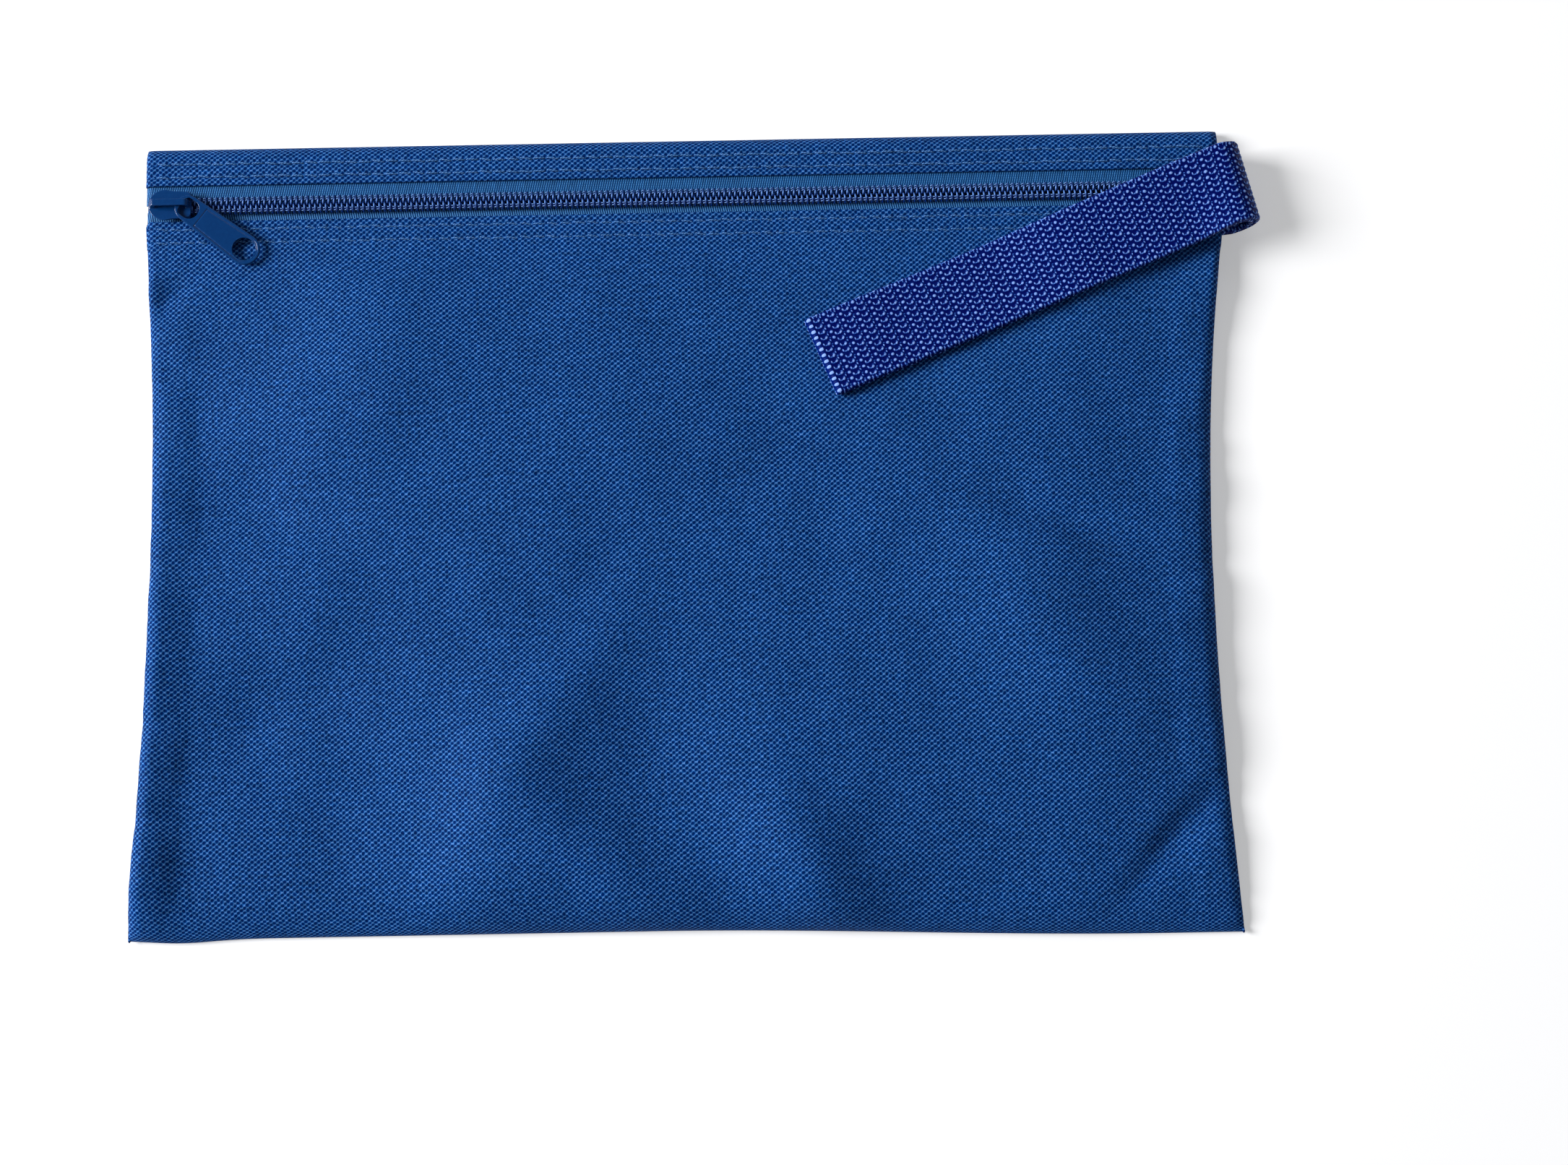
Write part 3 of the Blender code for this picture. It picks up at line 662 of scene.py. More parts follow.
def filament(name):
    """Glossy dark monofilament with faint draw lines, and a painted highlight on the tops of its legs."""
    finish = Finish(name, 0.3, 0.2)
    u, v = finish.flat()
    line = finish.noise(u, v, 0.3, 14.0)
    dark = finish.blend(line, (0.0, 0.016, 0.150), (0.004, 0.045, 0.250))
    # Painted highlight: the pale stroke kept on the mesh lightens the legs' tops
    colour = finish.blend(finish.rise(), dark, (0.15, 0.33, 0.80))
    return finish.done(colour, line, 0.01, finish.swing(line, 0.24, 0.38))


PLIES = 2


def twisted(name, dark, pale, twist, specular):
    """Twisted thread: slanting plies across the run of the thread, painted pale on their crests and dark in
    the grooves between them as painted highlight and painted shade.
    """
    finish = Finish(name, 0.42, specular)
    u, v = finish.flat()
    along = finish.math("MULTIPLY", u, 2 * PI / twist)
    around = finish.math("MULTIPLY", v, 2 * PLIES * PI)
    ply = finish.math("COSINE", finish.math("ADD", along, around))
    share = finish.math("MULTIPLY_ADD", ply, 0.5, 0.5)
    fibre = finish.noise(u, v, 3.0, 9.0, 3)
    # Painted highlight and shade: pale on the ply crests, dark in the grooves
    colour = finish.scale(finish.blend(share, dark, pale), finish.swing(fibre, 0.75, 1.25))
    return finish.done(colour, finish.math("MULTIPLY_ADD", fibre, 0.3, share), 0.05)


PEEL_SCALE = 900.0
SPECK_SCALE = 2600.0


def enamelled(name):
    """Gloss enamel over a casting: faint orange peel, and edges painted paler as painted highlight."""
    finish = Finish(name, 0.2, 0.2, Coat_Weight=0.2, Coat_Roughness=0.08)
    place = finish.node("TexCoord").outputs["Object"]
    peel = finish.cloud(place, PEEL_SCALE).outputs["Fac"]
    speck = finish.cloud(place, SPECK_SCALE).outputs["Fac"]
    # Painted highlight: convex edges are painted paler
    edge = finish.ramp(finish.node("NewGeometry").outputs["Pointiness"], ((0.50, 0.0), (0.60, 1.0)))
    coat = finish.blend(peel, (0.001, 0.032, 0.145), (0.002, 0.046, 0.185))
    colour = finish.blend(edge, coat, (0.006, 0.064, 0.225))
    height = finish.math("MULTIPLY_ADD", speck, 0.25, peel)
    return finish.done(colour, height, 0.02, finish.swing(speck, 0.14, 0.28))


WEB_HALF = 12.5
WEB_REPEATS = 13
REPEAT_LONG = 4.7
REPEAT_WIDE = 2 * WEB_HALF / WEB_REPEATS
# Each float of yarn in a repeat of the webbing:
# places along and across, half length, half width, turn in degrees and height
FLOATS = (
    (0.0, 0.0, 0.60, 0.54, 0, 1.0),
    (-1.04, -0.92, 0.54, 0.29, 80, 0.9),
    (-2.49, -1.18, 0.64, 0.42, -35, 1.0),
    (-1.70, -1.38, 0.64, 0.26, 0, 0.72),
    (-3.37, -0.39, 0.46, 0.28, 80, 0.85),
    (-3.55, -1.58, 0.36, 0.25, 0, 0.6),
    (-2.68, -0.60, 0.42, 0.20, 0, 0.65),
)
# The short stitches along both edges: how far apart, how far from the middle, half length, half width, height
EDGE_TICK = 1.175
EDGE_PLACE = 11.85
EDGE_SIZE = (0.26, 0.60, 0.8)


def webbed(name):
    """Webbing: glossy yarn, with painted shade that makes the gaps nearly black and painted highlights on the
    tops of the floats and edge stitches.
    """
    finish = Finish(name, 0.45, 0.05)
    u, v = finish.flat()
    u, v = finish.stray(u, v, 0.5, 0.5, 0.35)

    def dome(along, across, half_length, half_width, high):
        """Height of one float round its middle."""
        first = finish.math("MULTIPLY", along, 1 / half_length)
        second = finish.math("MULTIPLY", across, 1 / half_width)
        square = finish.math("MULTIPLY_ADD", first, first, finish.math("MULTIPLY", second, second))
        left = finish.math("MAXIMUM", finish.math("SUBTRACT", 1.0, square), 0.0)
        return finish.math("MULTIPLY", finish.math("SQRT", left), high)

    tick = finish.nearest(u, EDGE_TICK)
    from_edge = finish.math("SUBTRACT", finish.math("ABSOLUTE", v), EDGE_PLACE)
    height = dome(tick, from_edge, *EDGE_SIZE)
    for along, across, half_length, half_width, turn, high in FLOATS:
        away_u = finish.nearest(u, REPEAT_LONG, -along / REPEAT_LONG)
        away_v = finish.nearest(v, REPEAT_WIDE, -across / REPEAT_WIDE)
        turned = finish.turned(away_u, away_v, turn)
        height = finish.math("MAXIMUM", height, dome(*turned, half_length, half_width, high))
    fibre = finish.noise(u, v, 1.2, 7.0, 3)
    single = finish.noise(u, v, 0.6, 0.9)
    shade = finish.math("ADD", height, finish.swing(single, -0.22, 0.22))
    shade = finish.math("ADD", shade, finish.swing(fibre, -0.12, 0.12))
    # Painted light: rows marked on the mesh, the strap's end turn, are painted paler
    shade = finish.math("MULTIPLY_ADD", finish.rise(), 0.16, shade)
    # Painted shade and highlight: the gaps nearly black, the tops of the floats pale
    yarn = finish.ramp(shade, (
        (0.0, (0.0, 0.003, 0.108)),
        (0.3, (0.0, 0.017, 0.190)),
        (0.5, (0.006, 0.052, 0.320)),
        (0.72, (0.094, 0.218, 0.690)),
        (0.92, (0.300, 0.470, 0.960)),
    ))
    return finish.done(yarn, finish.math("MULTIPLY_ADD", fibre, 0.15, height), 0.12)


cloth_finish = woven("pouch_weave")
seam_finish = woven("seam_weave", 0.9)
tape_finish = ribbed("tape_rib")
coil_finish = filament("coil_filament")
cord_finish = twisted("filler_yarn", (0.0, 0.015, 0.16), (0.006, 0.042, 0.25), 2.2, 0.1)
stitch_finish = twisted("topstitch_thread", (0.005, 0.056, 0.22), (0.13, 0.31, 0.66), 0.9, 0.08)
# The coil threads' pale colours are painted highlight
coil_thread_finish = twisted("coil_thread", (0.14, 0.29, 0.68), (0.27, 0.47, 0.92), 0.8, 0.1)
enamel_finish = enamelled("slider_enamel")
webbing_finish = webbed("webbing_yarn")

# Pouch: one cloth from the hem down the front, round the bottom fold and up the back
SIDE_STEPS = np.array([0, 0.12, 0.35, 0.7, 1.1, 1.6, 2.2, 3.0, 4.0, 5.2, 6.6, 8.2, 10.0])
COLUMN_STEP = 1.75
ROW_STEP = 2.1
# Rows are close together above the bottom fold, on both faces, and below the top edge
NEAR_FOLD = (20, 18, 16, 14, 12, 10, 8.2, 6.6, 5.2, 4.0, 3.0, 2.1, 1.4, 0.8, 0.35, 0.1, 0)
BACK_FOLD = (0.6, 1.4, 2.6)
BACK_TOP = (3.4, 2.2, 1.2, 0.5, 0.1)
BACK_STEP = 3.2
FINE_STEP = 0.45
UNDER_STEP = 1.4
CLOTH_WIDE = 325
HEM_TURN = 8.6
UNDER_INSET = 0.9
ARC_STEPS = 8


def columns_across(y, inset=0.0):
    """Places from the left edge to the right edge at one height, close together near the seams."""
    left, right = left_edge(y) + inset, right_edge(y) - inset
    inside = int(round((CLOTH_WIDE - 2 * SIDE_STEPS[-1]) / COLUMN_STEP))
    middle = np.linspace(left + SIDE_STEPS[-1], right - SIDE_STEPS[-1], inside + 1)
    return np.concatenate([left + SIDE_STEPS[:-1], middle, right - SIDE_STEPS[-2::-1]])


def make_pouch():
    """The cloth of the pouch, in one piece."""
    rows, flat_rows = [], []
    run = 0.0
    last = None
    lowest = bottom_edge(0)
    fine = np.arange(HEM_EDGE - HEM_RADIUS, LOWER_TAPE_END, -FINE_STEP)
    broad = np.arange(fine[-1] - 1.0, lowest + BOTTOM_RUN, -ROW_STEP)
    near = lowest + np.array(NEAR_FOLD)
    under = [(y, "turn") for y in np.arange(HEM_EDGE - HEM_TURN, HEM_EDGE - HEM_RADIUS, UNDER_STEP)]
    arc = [(angle, "hem") for angle in np.linspace(-PI / 2, PI / 2, ARC_STEPS)]
    front = [(y, "front") for y in np.concatenate([fine[1:], broad, near])]
    roll = [(angle, "fold") for angle in np.linspace(0, PI / 2, 6)[1:]]
    back_y = np.concatenate([
        lowest + BOTTOM_Z + np.array(BACK_FOLD),
        np.arange(lowest + 6, TOP - 4, BACK_STEP),
        TOP - np.array(BACK_TOP),
    ])
    back = [(y, "back") for y in back_y]
    for place, kind in under + arc + front + roll + back:
        if kind == "hem":
            nominal = HEM_EDGE - HEM_RADIUS + HEM_RADIUS * math.cos(place)
        elif kind == "fold":
            nominal = lowest + BOTTOM_Z * (1 - math.cos(place))
        else:
            nominal = place
        inset = {"turn": UNDER_INSET, "hem": UNDER_INSET * (0.5 - 0.5 * math.sin(place))}.get(kind, 0.0)
        x = columns_across(nominal, inset)
        # Heights below the hem stretch with the bottom edge, which isn't level
        share = np.clip((HEM_EDGE - nominal) / (HEM_EDGE - lowest), 0, 1)
        y = nominal + (bottom_edge(x) - lowest) * share
        if kind == "turn":
            z = settle(joined(x, y, HEM_TOP - 2 * HEM_RADIUS))[:, 2]
        elif kind == "hem":
            z = settle(joined(x, y, front_top(x, y) - HEM_RADIUS * (1 - math.sin(place))))[:, 2]
        elif kind == "front":
            z = front_top(x, y)
        elif kind == "fold":
            z = np.maximum(BOTTOM_Z * (1 - math.sin(place)), back_bottom(x, y))
        else:
            z = back_bottom(x, y) + 0.35 * (1 - quarter((TOP - y) / 1.2))
        row = joined(x, y, z)
        if last is not None:
            run += np.linalg.norm((row - last)[len(x) // 2])
        last = row
        rows.append(row)
        flat_rows.append(joined(x, HEM_EDGE - run))
    shape = Shape()
    add_shell(shape, np.array(rows), np.array(flat_rows), CLOTH)
    cloth = shape.rider("pouch_cloth", cloth_finish, "cloth", "pouch", "front_panel", "back_panel")


make_pouch()

# Strip above the zip, whose right half stays shut beyond the place where the slider stops
MIDDLE = 0.0
HALF_COLUMNS = 75


def both_halves(name, make, finish, nodes=()):
    """Make a piece of the flap in two halves, which meet at the middle."""
    ends = {"left": (left_edge(TOP), MIDDLE), "right": (MIDDLE, right_edge(TOP))}
    for half, (start, end) in ends.items():
        shape = Shape()
        make(shape, start, end)
        thing = shape.piece(name + "_" + half, finish)
        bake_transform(thing)
        if half == "left" and nodes:
            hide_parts(*nodes)


def half_columns(end, y, inset):
    """Places across one half of the bag at one height, close together near the side seam."""
    if end > MIDDLE:
        right = right_edge(y) - inset
        inside = np.linspace(MIDDLE, right - SIDE_STEPS[-1], HALF_COLUMNS)
        return np.concatenate([inside, right - SIDE_STEPS[-2::-1]])
    left = left_edge(y) + inset
    inside = np.linspace(left + SIDE_STEPS[-1], MIDDLE, HALF_COLUMNS)
    return np.concatenate([left + SIDE_STEPS[:-1], inside])


LIP_RADIUS = TOP - LIP_START
# How the top edge comes down to the back: how far in, and the height
LIP_FOOT = ((0, 1.1), (0.05, 0.6), (0.25, 0.3))
FLAP_UNEVEN = 0.18


def flap_rows():
    """Middle section of the strip above the zip: turned under, then over the top edge, as (y, z, inset)."""
    low = HEM_TOP - 2 * HEM_RADIUS
    rows = [(y, low, UNDER_INSET) for y in np.arange(LIP_START - 0.6, FLAP_EDGE + HEM_RADIUS, -0.9)]
    for angle in np.linspace(-PI / 2, PI / 2, ARC_STEPS):
        y = FLAP_EDGE + HEM_RADIUS - HEM_RADIUS * math.cos(angle)
        z = low + HEM_RADIUS * (1 + math.sin(angle))
        rows.append((y, z, UNDER_INSET * (0.5 - 0.5 * math.sin(angle))))
    rows += [(y, HEM_TOP, 0.0) for y in np.arange(FLAP_EDGE + HEM_RADIUS + 0.4, LIP_START, 0.4)]
    rise = HEM_TOP - LIP_Z
    for angle in np.linspace(PI / 2, 0, 12):
        rows.append((LIP_START + LIP_RADIUS * math.cos(angle), LIP_Z + rise * math.sin(angle), 0.0))
    return rows + [(TOP - back, z, 0.0) for back, z in LIP_FOOT]


def make_flap(shape, start, end):
    """One half of the strip above the zip."""
    grid, flat = [], []
    run = FLAP_EDGE
    last = None
    for y, z, inset in flap_rows():
        x = half_columns(end, y, inset)
        level = z
        if y > FLAP_EDGE and z >= HEM_TOP - HEM_RADIUS:
            level = level + stitch_draw(x, y, ("upper_inner", "upper_outer"))
            level = level + FLAP_UNEVEN * rough(x, y, 12, 5) * smooth((y - FLAP_EDGE) / 3)
        if last is not None:
            run += math.hypot(y - last[0], z - last[1])
        last = (y, z)
        grid.append(settle(joined(x, y, level)))
        flat.append(joined(x, run))
    add_shell(shape, np.array(grid), np.array(flat), CLOTH, flip=True)


both_halves("flap_cloth", make_flap, cloth_finish, ("top_flap",))

# Zip
RIB_STEPS = 6
RIB_HEIGHT = 0.14
RIB_SLANT = 0.22
RIB_SINK = 0.07
# Rows of the tape, out from the chain: the open stretch and the one under the stitches
TAPE_ROWS = ((TAPE_EDGE, 7.0, 9), (8.2, 13.6, 5))
TAPE_SLACK = 0.3
TAPE_THIN = 0.1
COIL_PITCH = 1.63
FILAMENT = 0.25
COIL_STEPS = 22
COIL_START = 1.2
LEG_LEAN = 0.2
HEAD_OVERLAP = -0.02
# A turn is squarer than an oval: the powers shape it across and upright
TURN_ACROSS = 0.72
TURN_UPRIGHT = 0.62
# A painted highlight along the legs: how far from the chain's middle it lies, and its reach
PAINTED_SHINE_OUT = 0.85
PAINTED_SHINE_REACH = 0.55


def add_tape(shape, start, end, side):
    """A tape with upright ribs, from under the coil to its sewn edge."""
    y_rows = CHAIN_Y + side * np.concatenate([np.linspace(*stretch) for stretch in TAPE_ROWS])
    start = max(start, left_edge(y_rows).max() + TAPE_SLACK)
    end = min(end, right_edge(y_rows).min() - TAPE_SLACK)
    x = np.linspace(start, end, int((end - start) / (RIB_PITCH / RIB_STEPS)))
    grid, flat, rise = [], [], []
    for y in y_rows:
        phase = (x - side * RIB_SLANT * (y - CHAIN_Y)) / RIB_PITCH
        crest = 0.5 + 0.5 * np.cos(2 * PI * phase)
        grid.append(settle(joined(x, y, TAPE_TOP - RIB_SINK + RIB_HEIGHT * crest)))
        flat.append(joined(x, y))
        # The crest of each rib goes to the finish, which paints it as painted highlight and painted shade
        rise.append(crest)
    thickness = TAPE_TOP - TAPE_LOW - TAPE_THIN
    add_shell(shape, np.array(grid), np.array(flat), thickness, side > 0, np.array(rise))


def between_seams(start, end, left_room, right_room):
    """Two places along the chain, kept some way clear of the side seams."""
    return max(start, left_edge(CHAIN_Y) + left_room), min(end, right_edge(CHAIN_Y) - right_room)


def coil_turns(start, end, side):
    """Numbers of the turns of a coil that lie between two places, and where they are counted from."""
    shift = 0.0 if side > 0 else 0.5
    first = round((start - left_edge(CHAIN_Y) - COIL_START) / COIL_PITCH - shift)
    last = round((end - left_edge(CHAIN_Y) - COIL_START) / COIL_PITCH - shift)
    return first, last, left_edge(CHAIN_Y) + COIL_START + shift * COIL_PITCH


def add_coil(shape, start, end, side):
    """A coil wound over its cord: straight legs on top, round heads that mesh with the other coil's."""
    first, last, origin = coil_turns(*between_seams(start, end, 2.2, 2.4), side)
    steps = np.arange((last - first) * COIL_STEPS + 1) / COIL_STEPS + first
    turn = 2 * PI * (steps % 1.0)
    half_z = (COIL_TOP - COIL_LOW) / 2 - FILAMENT
    swing = np.sign(np.cos(turn)) * np.abs(np.cos(turn)) ** TURN_ACROSS
    lift = np.sign(np.sin(turn)) * np.abs(np.sin(turn)) ** TURN_UPRIGHT
    across = mix(HEAD_OVERLAP, COIL_OUT - FILAMENT, 0.5 - 0.5 * swing)
    # The coil steps along underneath, so that the legs on top stand nearly square to the chain
    part = steps % 1.0
    over = np.clip(2 * part - 1, 0, 1)
    below = (1 + LEG_LEAN) * smooth(2 * part)
    ahead = np.floor(steps) + np.where(part < 0.5, below, 1 + LEG_LEAN * (1 - over))
    path = joined(origin + ahead * COIL_PITCH, CHAIN_Y + side * across, COIL_MIDDLE - half_z * lift)
    # Painted highlight: a pale stroke painted on the tops of the legs, kept on the mesh for the finish
    painted_shine = np.where(lift < -0.3, bell(across - PAINTED_SHINE_OUT, PAINTED_SHINE_REACH), 0)
    add_tube(shape, settle(path), FILAMENT, 8, (1.0, 0, 0), rise=painted_shine)


# Threads over the coil's legs: how far out each is, their radius, and each bight's ends, bow, foot and rise
COIL_THREADS = (1.33, 2.03)
COIL_THREAD = 0.14
BIGHT_ENDS = (-0.80, 0.20)
BIGHT_BOW = 0.12
BIGHT_FOOT = 0.50
BIGHT_RISE = 0.56
UPRIGHT = (0, 0, 1.0)


def add_coil_threads(shape, start, end, side):
    """The two sewing threads that tie a coil to its tape: a short bight over each leg."""
    first, last, origin = coil_turns(*between_seams(start, end, 2.6, 2.8), side)
    share = np.linspace(0, 1, 9)
    for number in range(first, last):
        for offset in COIL_THREADS:
            leg = origin + (number + 1 + LEG_LEAN * offset / COIL_OUT) * COIL_PITCH
            x = leg + mix(*BIGHT_ENDS, share)
            y = CHAIN_Y + side * (offset + BIGHT_BOW * np.sin(PI * share))
            z = COIL_TOP - BIGHT_FOOT + BIGHT_RISE * np.sin(PI * share ** 0.8)
            add_tube(shape, settle(joined(x, y, z)), COIL_THREAD, 6, UPRIGHT)


CORD_OUT = 1.62
CORD_RADIUS = 0.30
CORD_STEP = 0.4
CORD_PLY = 0.14
CORD_TWIST = 2.2
CORD_SIDES = 10


def plied(x, depth, twist):
    """How the radius of a two-ply thread swells round it and along it."""
    turn = 2 * PI * np.arange(CORD_SIDES) / CORD_SIDES
    return 1 + depth * np.cos(2 * turn[None, :] - 2 * PI * x[:, None] / twist)


def add_cord(shape, start, end, side):
    """The two-ply cord inside a coil."""
    x = np.arange(*between_seams(start, end, 3, 3), CORD_STEP)
    path = settle(joined(x, CHAIN_Y + side * CORD_OUT, COIL_MIDDLE))
    add_tube(shape, path, CORD_RADIUS * plied(x, CORD_PLY, CORD_TWIST), CORD_SIDES, UPRIGHT, x)


STITCH_SHOWN = 3.5
THREAD_RADIUS = 0.25
PLY_DEPTH = 0.16
PLY_TWIST = 1.3
# A stitch starts below the cloth and bows up out of it, slants across its row and strays a little from it
STITCH_SINK = 0.26
STITCH_RISE = 0.50
STITCH_SLANT = 0.2
SLANT_STRAY = 0.14
ROW_STRAY = 0.12
STITCH_TAPER = 0.28
STITCH_ROOM = 2.6
FLAP_SEAT = 0.3


def add_stitches(shape, start, end, y, seat):
    """A row of two-ply lockstitches that dip into the cloth at both ends."""
    share = np.linspace(0, 1, 17)
    for number in range(math.ceil(start / STITCH), math.floor(end / STITCH)):
        x = number * STITCH + (STITCH - STITCH_SHOWN) / 2 + STITCH_SHOWN * share
        bow = np.sin(PI * share) ** 0.5
        stray = math.sin(number * 2.4), math.sin(number * 5.1 + y)
        row = y + (STITCH_SLANT + SLANT_STRAY * stray[0]) * (1 - 2 * share) + ROW_STRAY * stray[1]
        z = seat(x, np.full_like(x, y)) - STITCH_SINK + STITCH_RISE * bow
        taper = 1 - STITCH_TAPER + STITCH_TAPER * bow
        radius = THREAD_RADIUS * taper[:, None] * plied(x, PLY_DEPTH, PLY_TWIST)
        add_tube(shape, joined(x, row, z), radius, CORD_SIDES, UPRIGHT)


def flap_seat(x, y):
    """Height of the strip under its stitches."""
    return np.full(np.broadcast(x, y).shape, HEM_TOP - FLAP_SEAT)


def stitch_row(row, seat):
    """A maker for one row of stitches, held to the places between the seams."""
    def make(shape, start, end):
        """Add the row between two places."""
        y = ROW_Y[row]
        first, last = max(start, left_edge(y) + STITCH_ROOM), min(end, right_edge(y) - STITCH_ROOM)
        add_stitches(shape, first, last, y, seat)
    return make


def on_pouch(name, make, finish, slot, nodes=()):
    """Make a piece of the lower half of the zip, from seam to seam."""
    shape = Shape()
    make(shape, left_edge(CHAIN_Y), right_edge(CHAIN_Y))
    return shape.rider(name, finish, slot, "pouch", *nodes)


def sided(add, side):
    """A maker for one side of the zip."""
    return lambda shape, start, end: add(shape, start, end, side)


both_halves("upper_tape", sided(add_tape, 1), tape_finish, ("upper_zipper_tape",))
both_halves("upper_filament", sided(add_coil, 1), coil_finish, ("upper_coil",))
both_halves("upper_filler", sided(add_cord, 1), cord_finish, ("upper_coil_cord",))
both_halves("upper_coil_threads", sided(add_coil_threads, 1), coil_thread_finish)
for row in ("upper_inner", "upper_outer"):
    both_halves(row + "_stitches", stitch_row(row, flap_seat), stitch_finish, (row + "_topstitch",))

lower_tape = on_pouch("lower_tape", sided(add_tape, -1), tape_finish, "zip_tape", ("lower_zipper_tape",))
on_pouch("lower_filament", sided(add_coil, -1), coil_finish, "coil", ("lower_coil",))
on_pouch("lower_filler", sided(add_cord, -1), cord_finish, "filler_cord", ("lower_coil_cord",))
on_pouch("lower_coil_threads", sided(add_coil_threads, -1), coil_thread_finish, "thread")
for row in ("lower_inner", "lower_outer"):
    on_pouch(row + "_stitches", stitch_row(row, front_top), stitch_finish, "thread", (row + "_topstitch",))

# Side seams, inside the pouch
ALLOWANCE = 13.0
SEAM_INSET = 1.5
SEAM_STEP = 2.4
SEAM_ROWS = 9
# The cloth lies on the back, turns at the seam and lies back on itself: places in from the seam, and heights
TURN_IN = (0.55, 0.2, 0.05, 0.2, 0.55)
TURN_UP = (1.4, 1.65, 2.1, 2.5, 2.7)
LOWER_LAYER = 1.3
UPPER_LAYER = 2.8
FRAY = 0.5
SEAM_WAVE = 0.12
SEAM_THREAD_IN = 1.0
SEAM_THREAD_Z = 2.2


def make_seam(name, side, low, high):
    """The turned-in edges of front and back, lying on each other, and the thread that holds them."""
    side_edge = left_edge if side < 0 else right_edge
    y = np.arange(low, high, SEAM_STEP)
    layer = np.linspace(ALLOWANCE, 1.0, SEAM_ROWS)
    inside = np.concatenate([layer, TURN_IN, np.linspace(1.0, ALLOWANCE, SEAM_ROWS)])
    level = np.concatenate([np.full(SEAM_ROWS, LOWER_LAYER), TURN_UP, np.full(SEAM_ROWS, UPPER_LAYER)])
    fray = FRAY * rough(y, 0 * y, 4, 8 + side)
    grid, flat = [], []
    run = 0.0
    for number, (step, z) in enumerate(zip(inside, level)):
        out = SEAM_INSET + step + fray * (step > ALLOWANCE - 1)
        wave = SEAM_WAVE * rough(y, 0 * y + step, 11, 4 + side)
        grid.append(joined(side_edge(y) - side * out, y, z + wave))
        if number:
            run += math.hypot(inside[number] - inside[number - 1], level[number] - level[number - 1])
        flat.append(joined(run, y))
    shape = Shape()
    add_shell(shape, np.array(grid), np.array(flat), CLOTH * 0.9, flip=side < 0)
    cloth = shape.rider(name + "_seam_cloth", seam_finish, "seam_cloth", "pouch", name + "_seam_allowance")

    shape = Shape()
    share = np.linspace(0, 1, 9)
    for number in range(int((high - low) / STITCH)):
        along = low + number * STITCH + 0.3 + STITCH_SHOWN * share
        bow = np.sin(PI * share)
        out = side_edge(along) - side * SEAM_THREAD_IN
        path = joined(out - side * 0.1 * bow, along, SEAM_THREAD_Z + 0.15 * bow)
        add_tube(shape, path, THREAD_RADIUS, 6, UPRIGHT)
    shape.rider(name + "_seam_stitches", stitch_finish, "thread", "pouch", name + "_seam_thread")


for name, side, short in (("left", -1, 3), ("right", 1, 2)):
    seam_low, seam_high = span(name + "_seam_allowance")
    make_seam(name, side, seam_low[1], seam_high[1] - short)


# Slider and pull
def prism(loops, low, high):
    """A flat plate with holes, as a mesh with its plan in x and y."""
    curve = bpy.data.curves.new("plan", "CURVE")
    curve.dimensions = "2D"
    curve.fill_mode = "BOTH"
    curve.extrude = (high - low) / 2
    for loop in loops:
        spline = curve.splines.new("POLY")
        spline.points.add(len(loop) - 1)
        for point, (x, y) in zip(spline.points, loop):
            point.co = (x, y, 0, 1)
        spline.use_cyclic_u = True
    holder = bpy.data.objects.new("plan", curve)
    mesh = bpy.data.meshes.new_from_object(holder)
    mesh.transform(Matrix.Translation((0, 0, (low + high) / 2)))
    bpy.data.objects.remove(holder)
    bpy.data.curves.remove(curve)
    return mesh


def cast(name, solids, voxel, rounds, place, node, body):
    """Melt overlapping plates into one casting, with edges softened in some rounds."""
    shape_mesh = bpy.data.meshes.new(name)
    points, faces = [], []
    for solid in solids:
        start = len(points)
        points += [vertex.co[:] for vertex in solid.vertices]
        faces += [[corner + start for corner in face.vertices] for face in solid.polygons]
        bpy.data.meshes.remove(solid)
    shape_mesh.from_pydata(points, [], faces)
    thing = bpy.data.objects.new(name, shape_mesh)
    bpy.context.scene.collection.objects.link(thing)
    remesh = thing.modifiers.new("melt", "REMESH")
    remesh.mode = "VOXEL"
    remesh.voxel_size = voxel
    soften = thing.modifiers.new("soften", "SMOOTH")
    soften.factor = 0.5
    soften.iterations = rounds
    graph = bpy.context.evaluated_depsgraph_get()
    final = bpy.data.meshes.new_from_object(thing.evaluated_get(graph))
    thing.modifiers.clear()
    thing.data = final
    bpy.data.meshes.remove(shape_mesh)
    final.name = name
    final.transform(Matrix.Translation((BAG_X * MM, 0, 0)) @ Matrix.Scale(MM, 4) @ place)
    final.polygons.foreach_set("use_smooth", [True] * len(final.polygons))
    final.materials.clear()
    final.materials.append(enamel_finish)
    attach(thing, body)
    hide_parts(node)


def arc_points(x, y, radius_x, radius_y, start, end, steps):
    """Points round part of an oval, with its angles in degrees."""
    angles = np.radians(np.linspace(start, end, steps))
    return [(x + radius_x * math.cos(a), y + radius_y * math.sin(a)) for a in angles]


PLATE = 0.9
NOSE, _, SLIDER_BASE = SLIDER_LOW
TAIL, _, BRIDGE_TOP = SLIDER_HIGH
NOSE_HALF = (SLIDER_HIGH[1] - SLIDER_LOW[1]) / 2
NOSE_BOW = 5.2
WAIST = 2.0
WAIST_SHARE = 0.6
TAIL_HALF = 4.05
TAIL_CORNER = 1.4
PLATE_ROOM = 0.3
UPPER_PLATE = COIL_TOP + PLATE_ROOM
# How far the post, flanges and bridge reach into the plates, so that they melt together
MELT = 0.4
BRIDGE_MELT = 0.3
POST_IN = 2.6
POST_LONG = 1.6
POST_WIDE = 0.7
FLANGE_IN = 3.1
FLANGE_OUT = 3.9
FLANGE_START = 6.2
FLANGE_END = 0.3
# The bridge: how far in its feet are, the radius of its shoulders, its depth and half its width
BRIDGE_FOOT = 1.0
BRIDGE_TAIL = 0.3
SHOULDER = 1.3
BRIDGE_DEPTH = 0.9
BRIDGE_HALF = 1.0


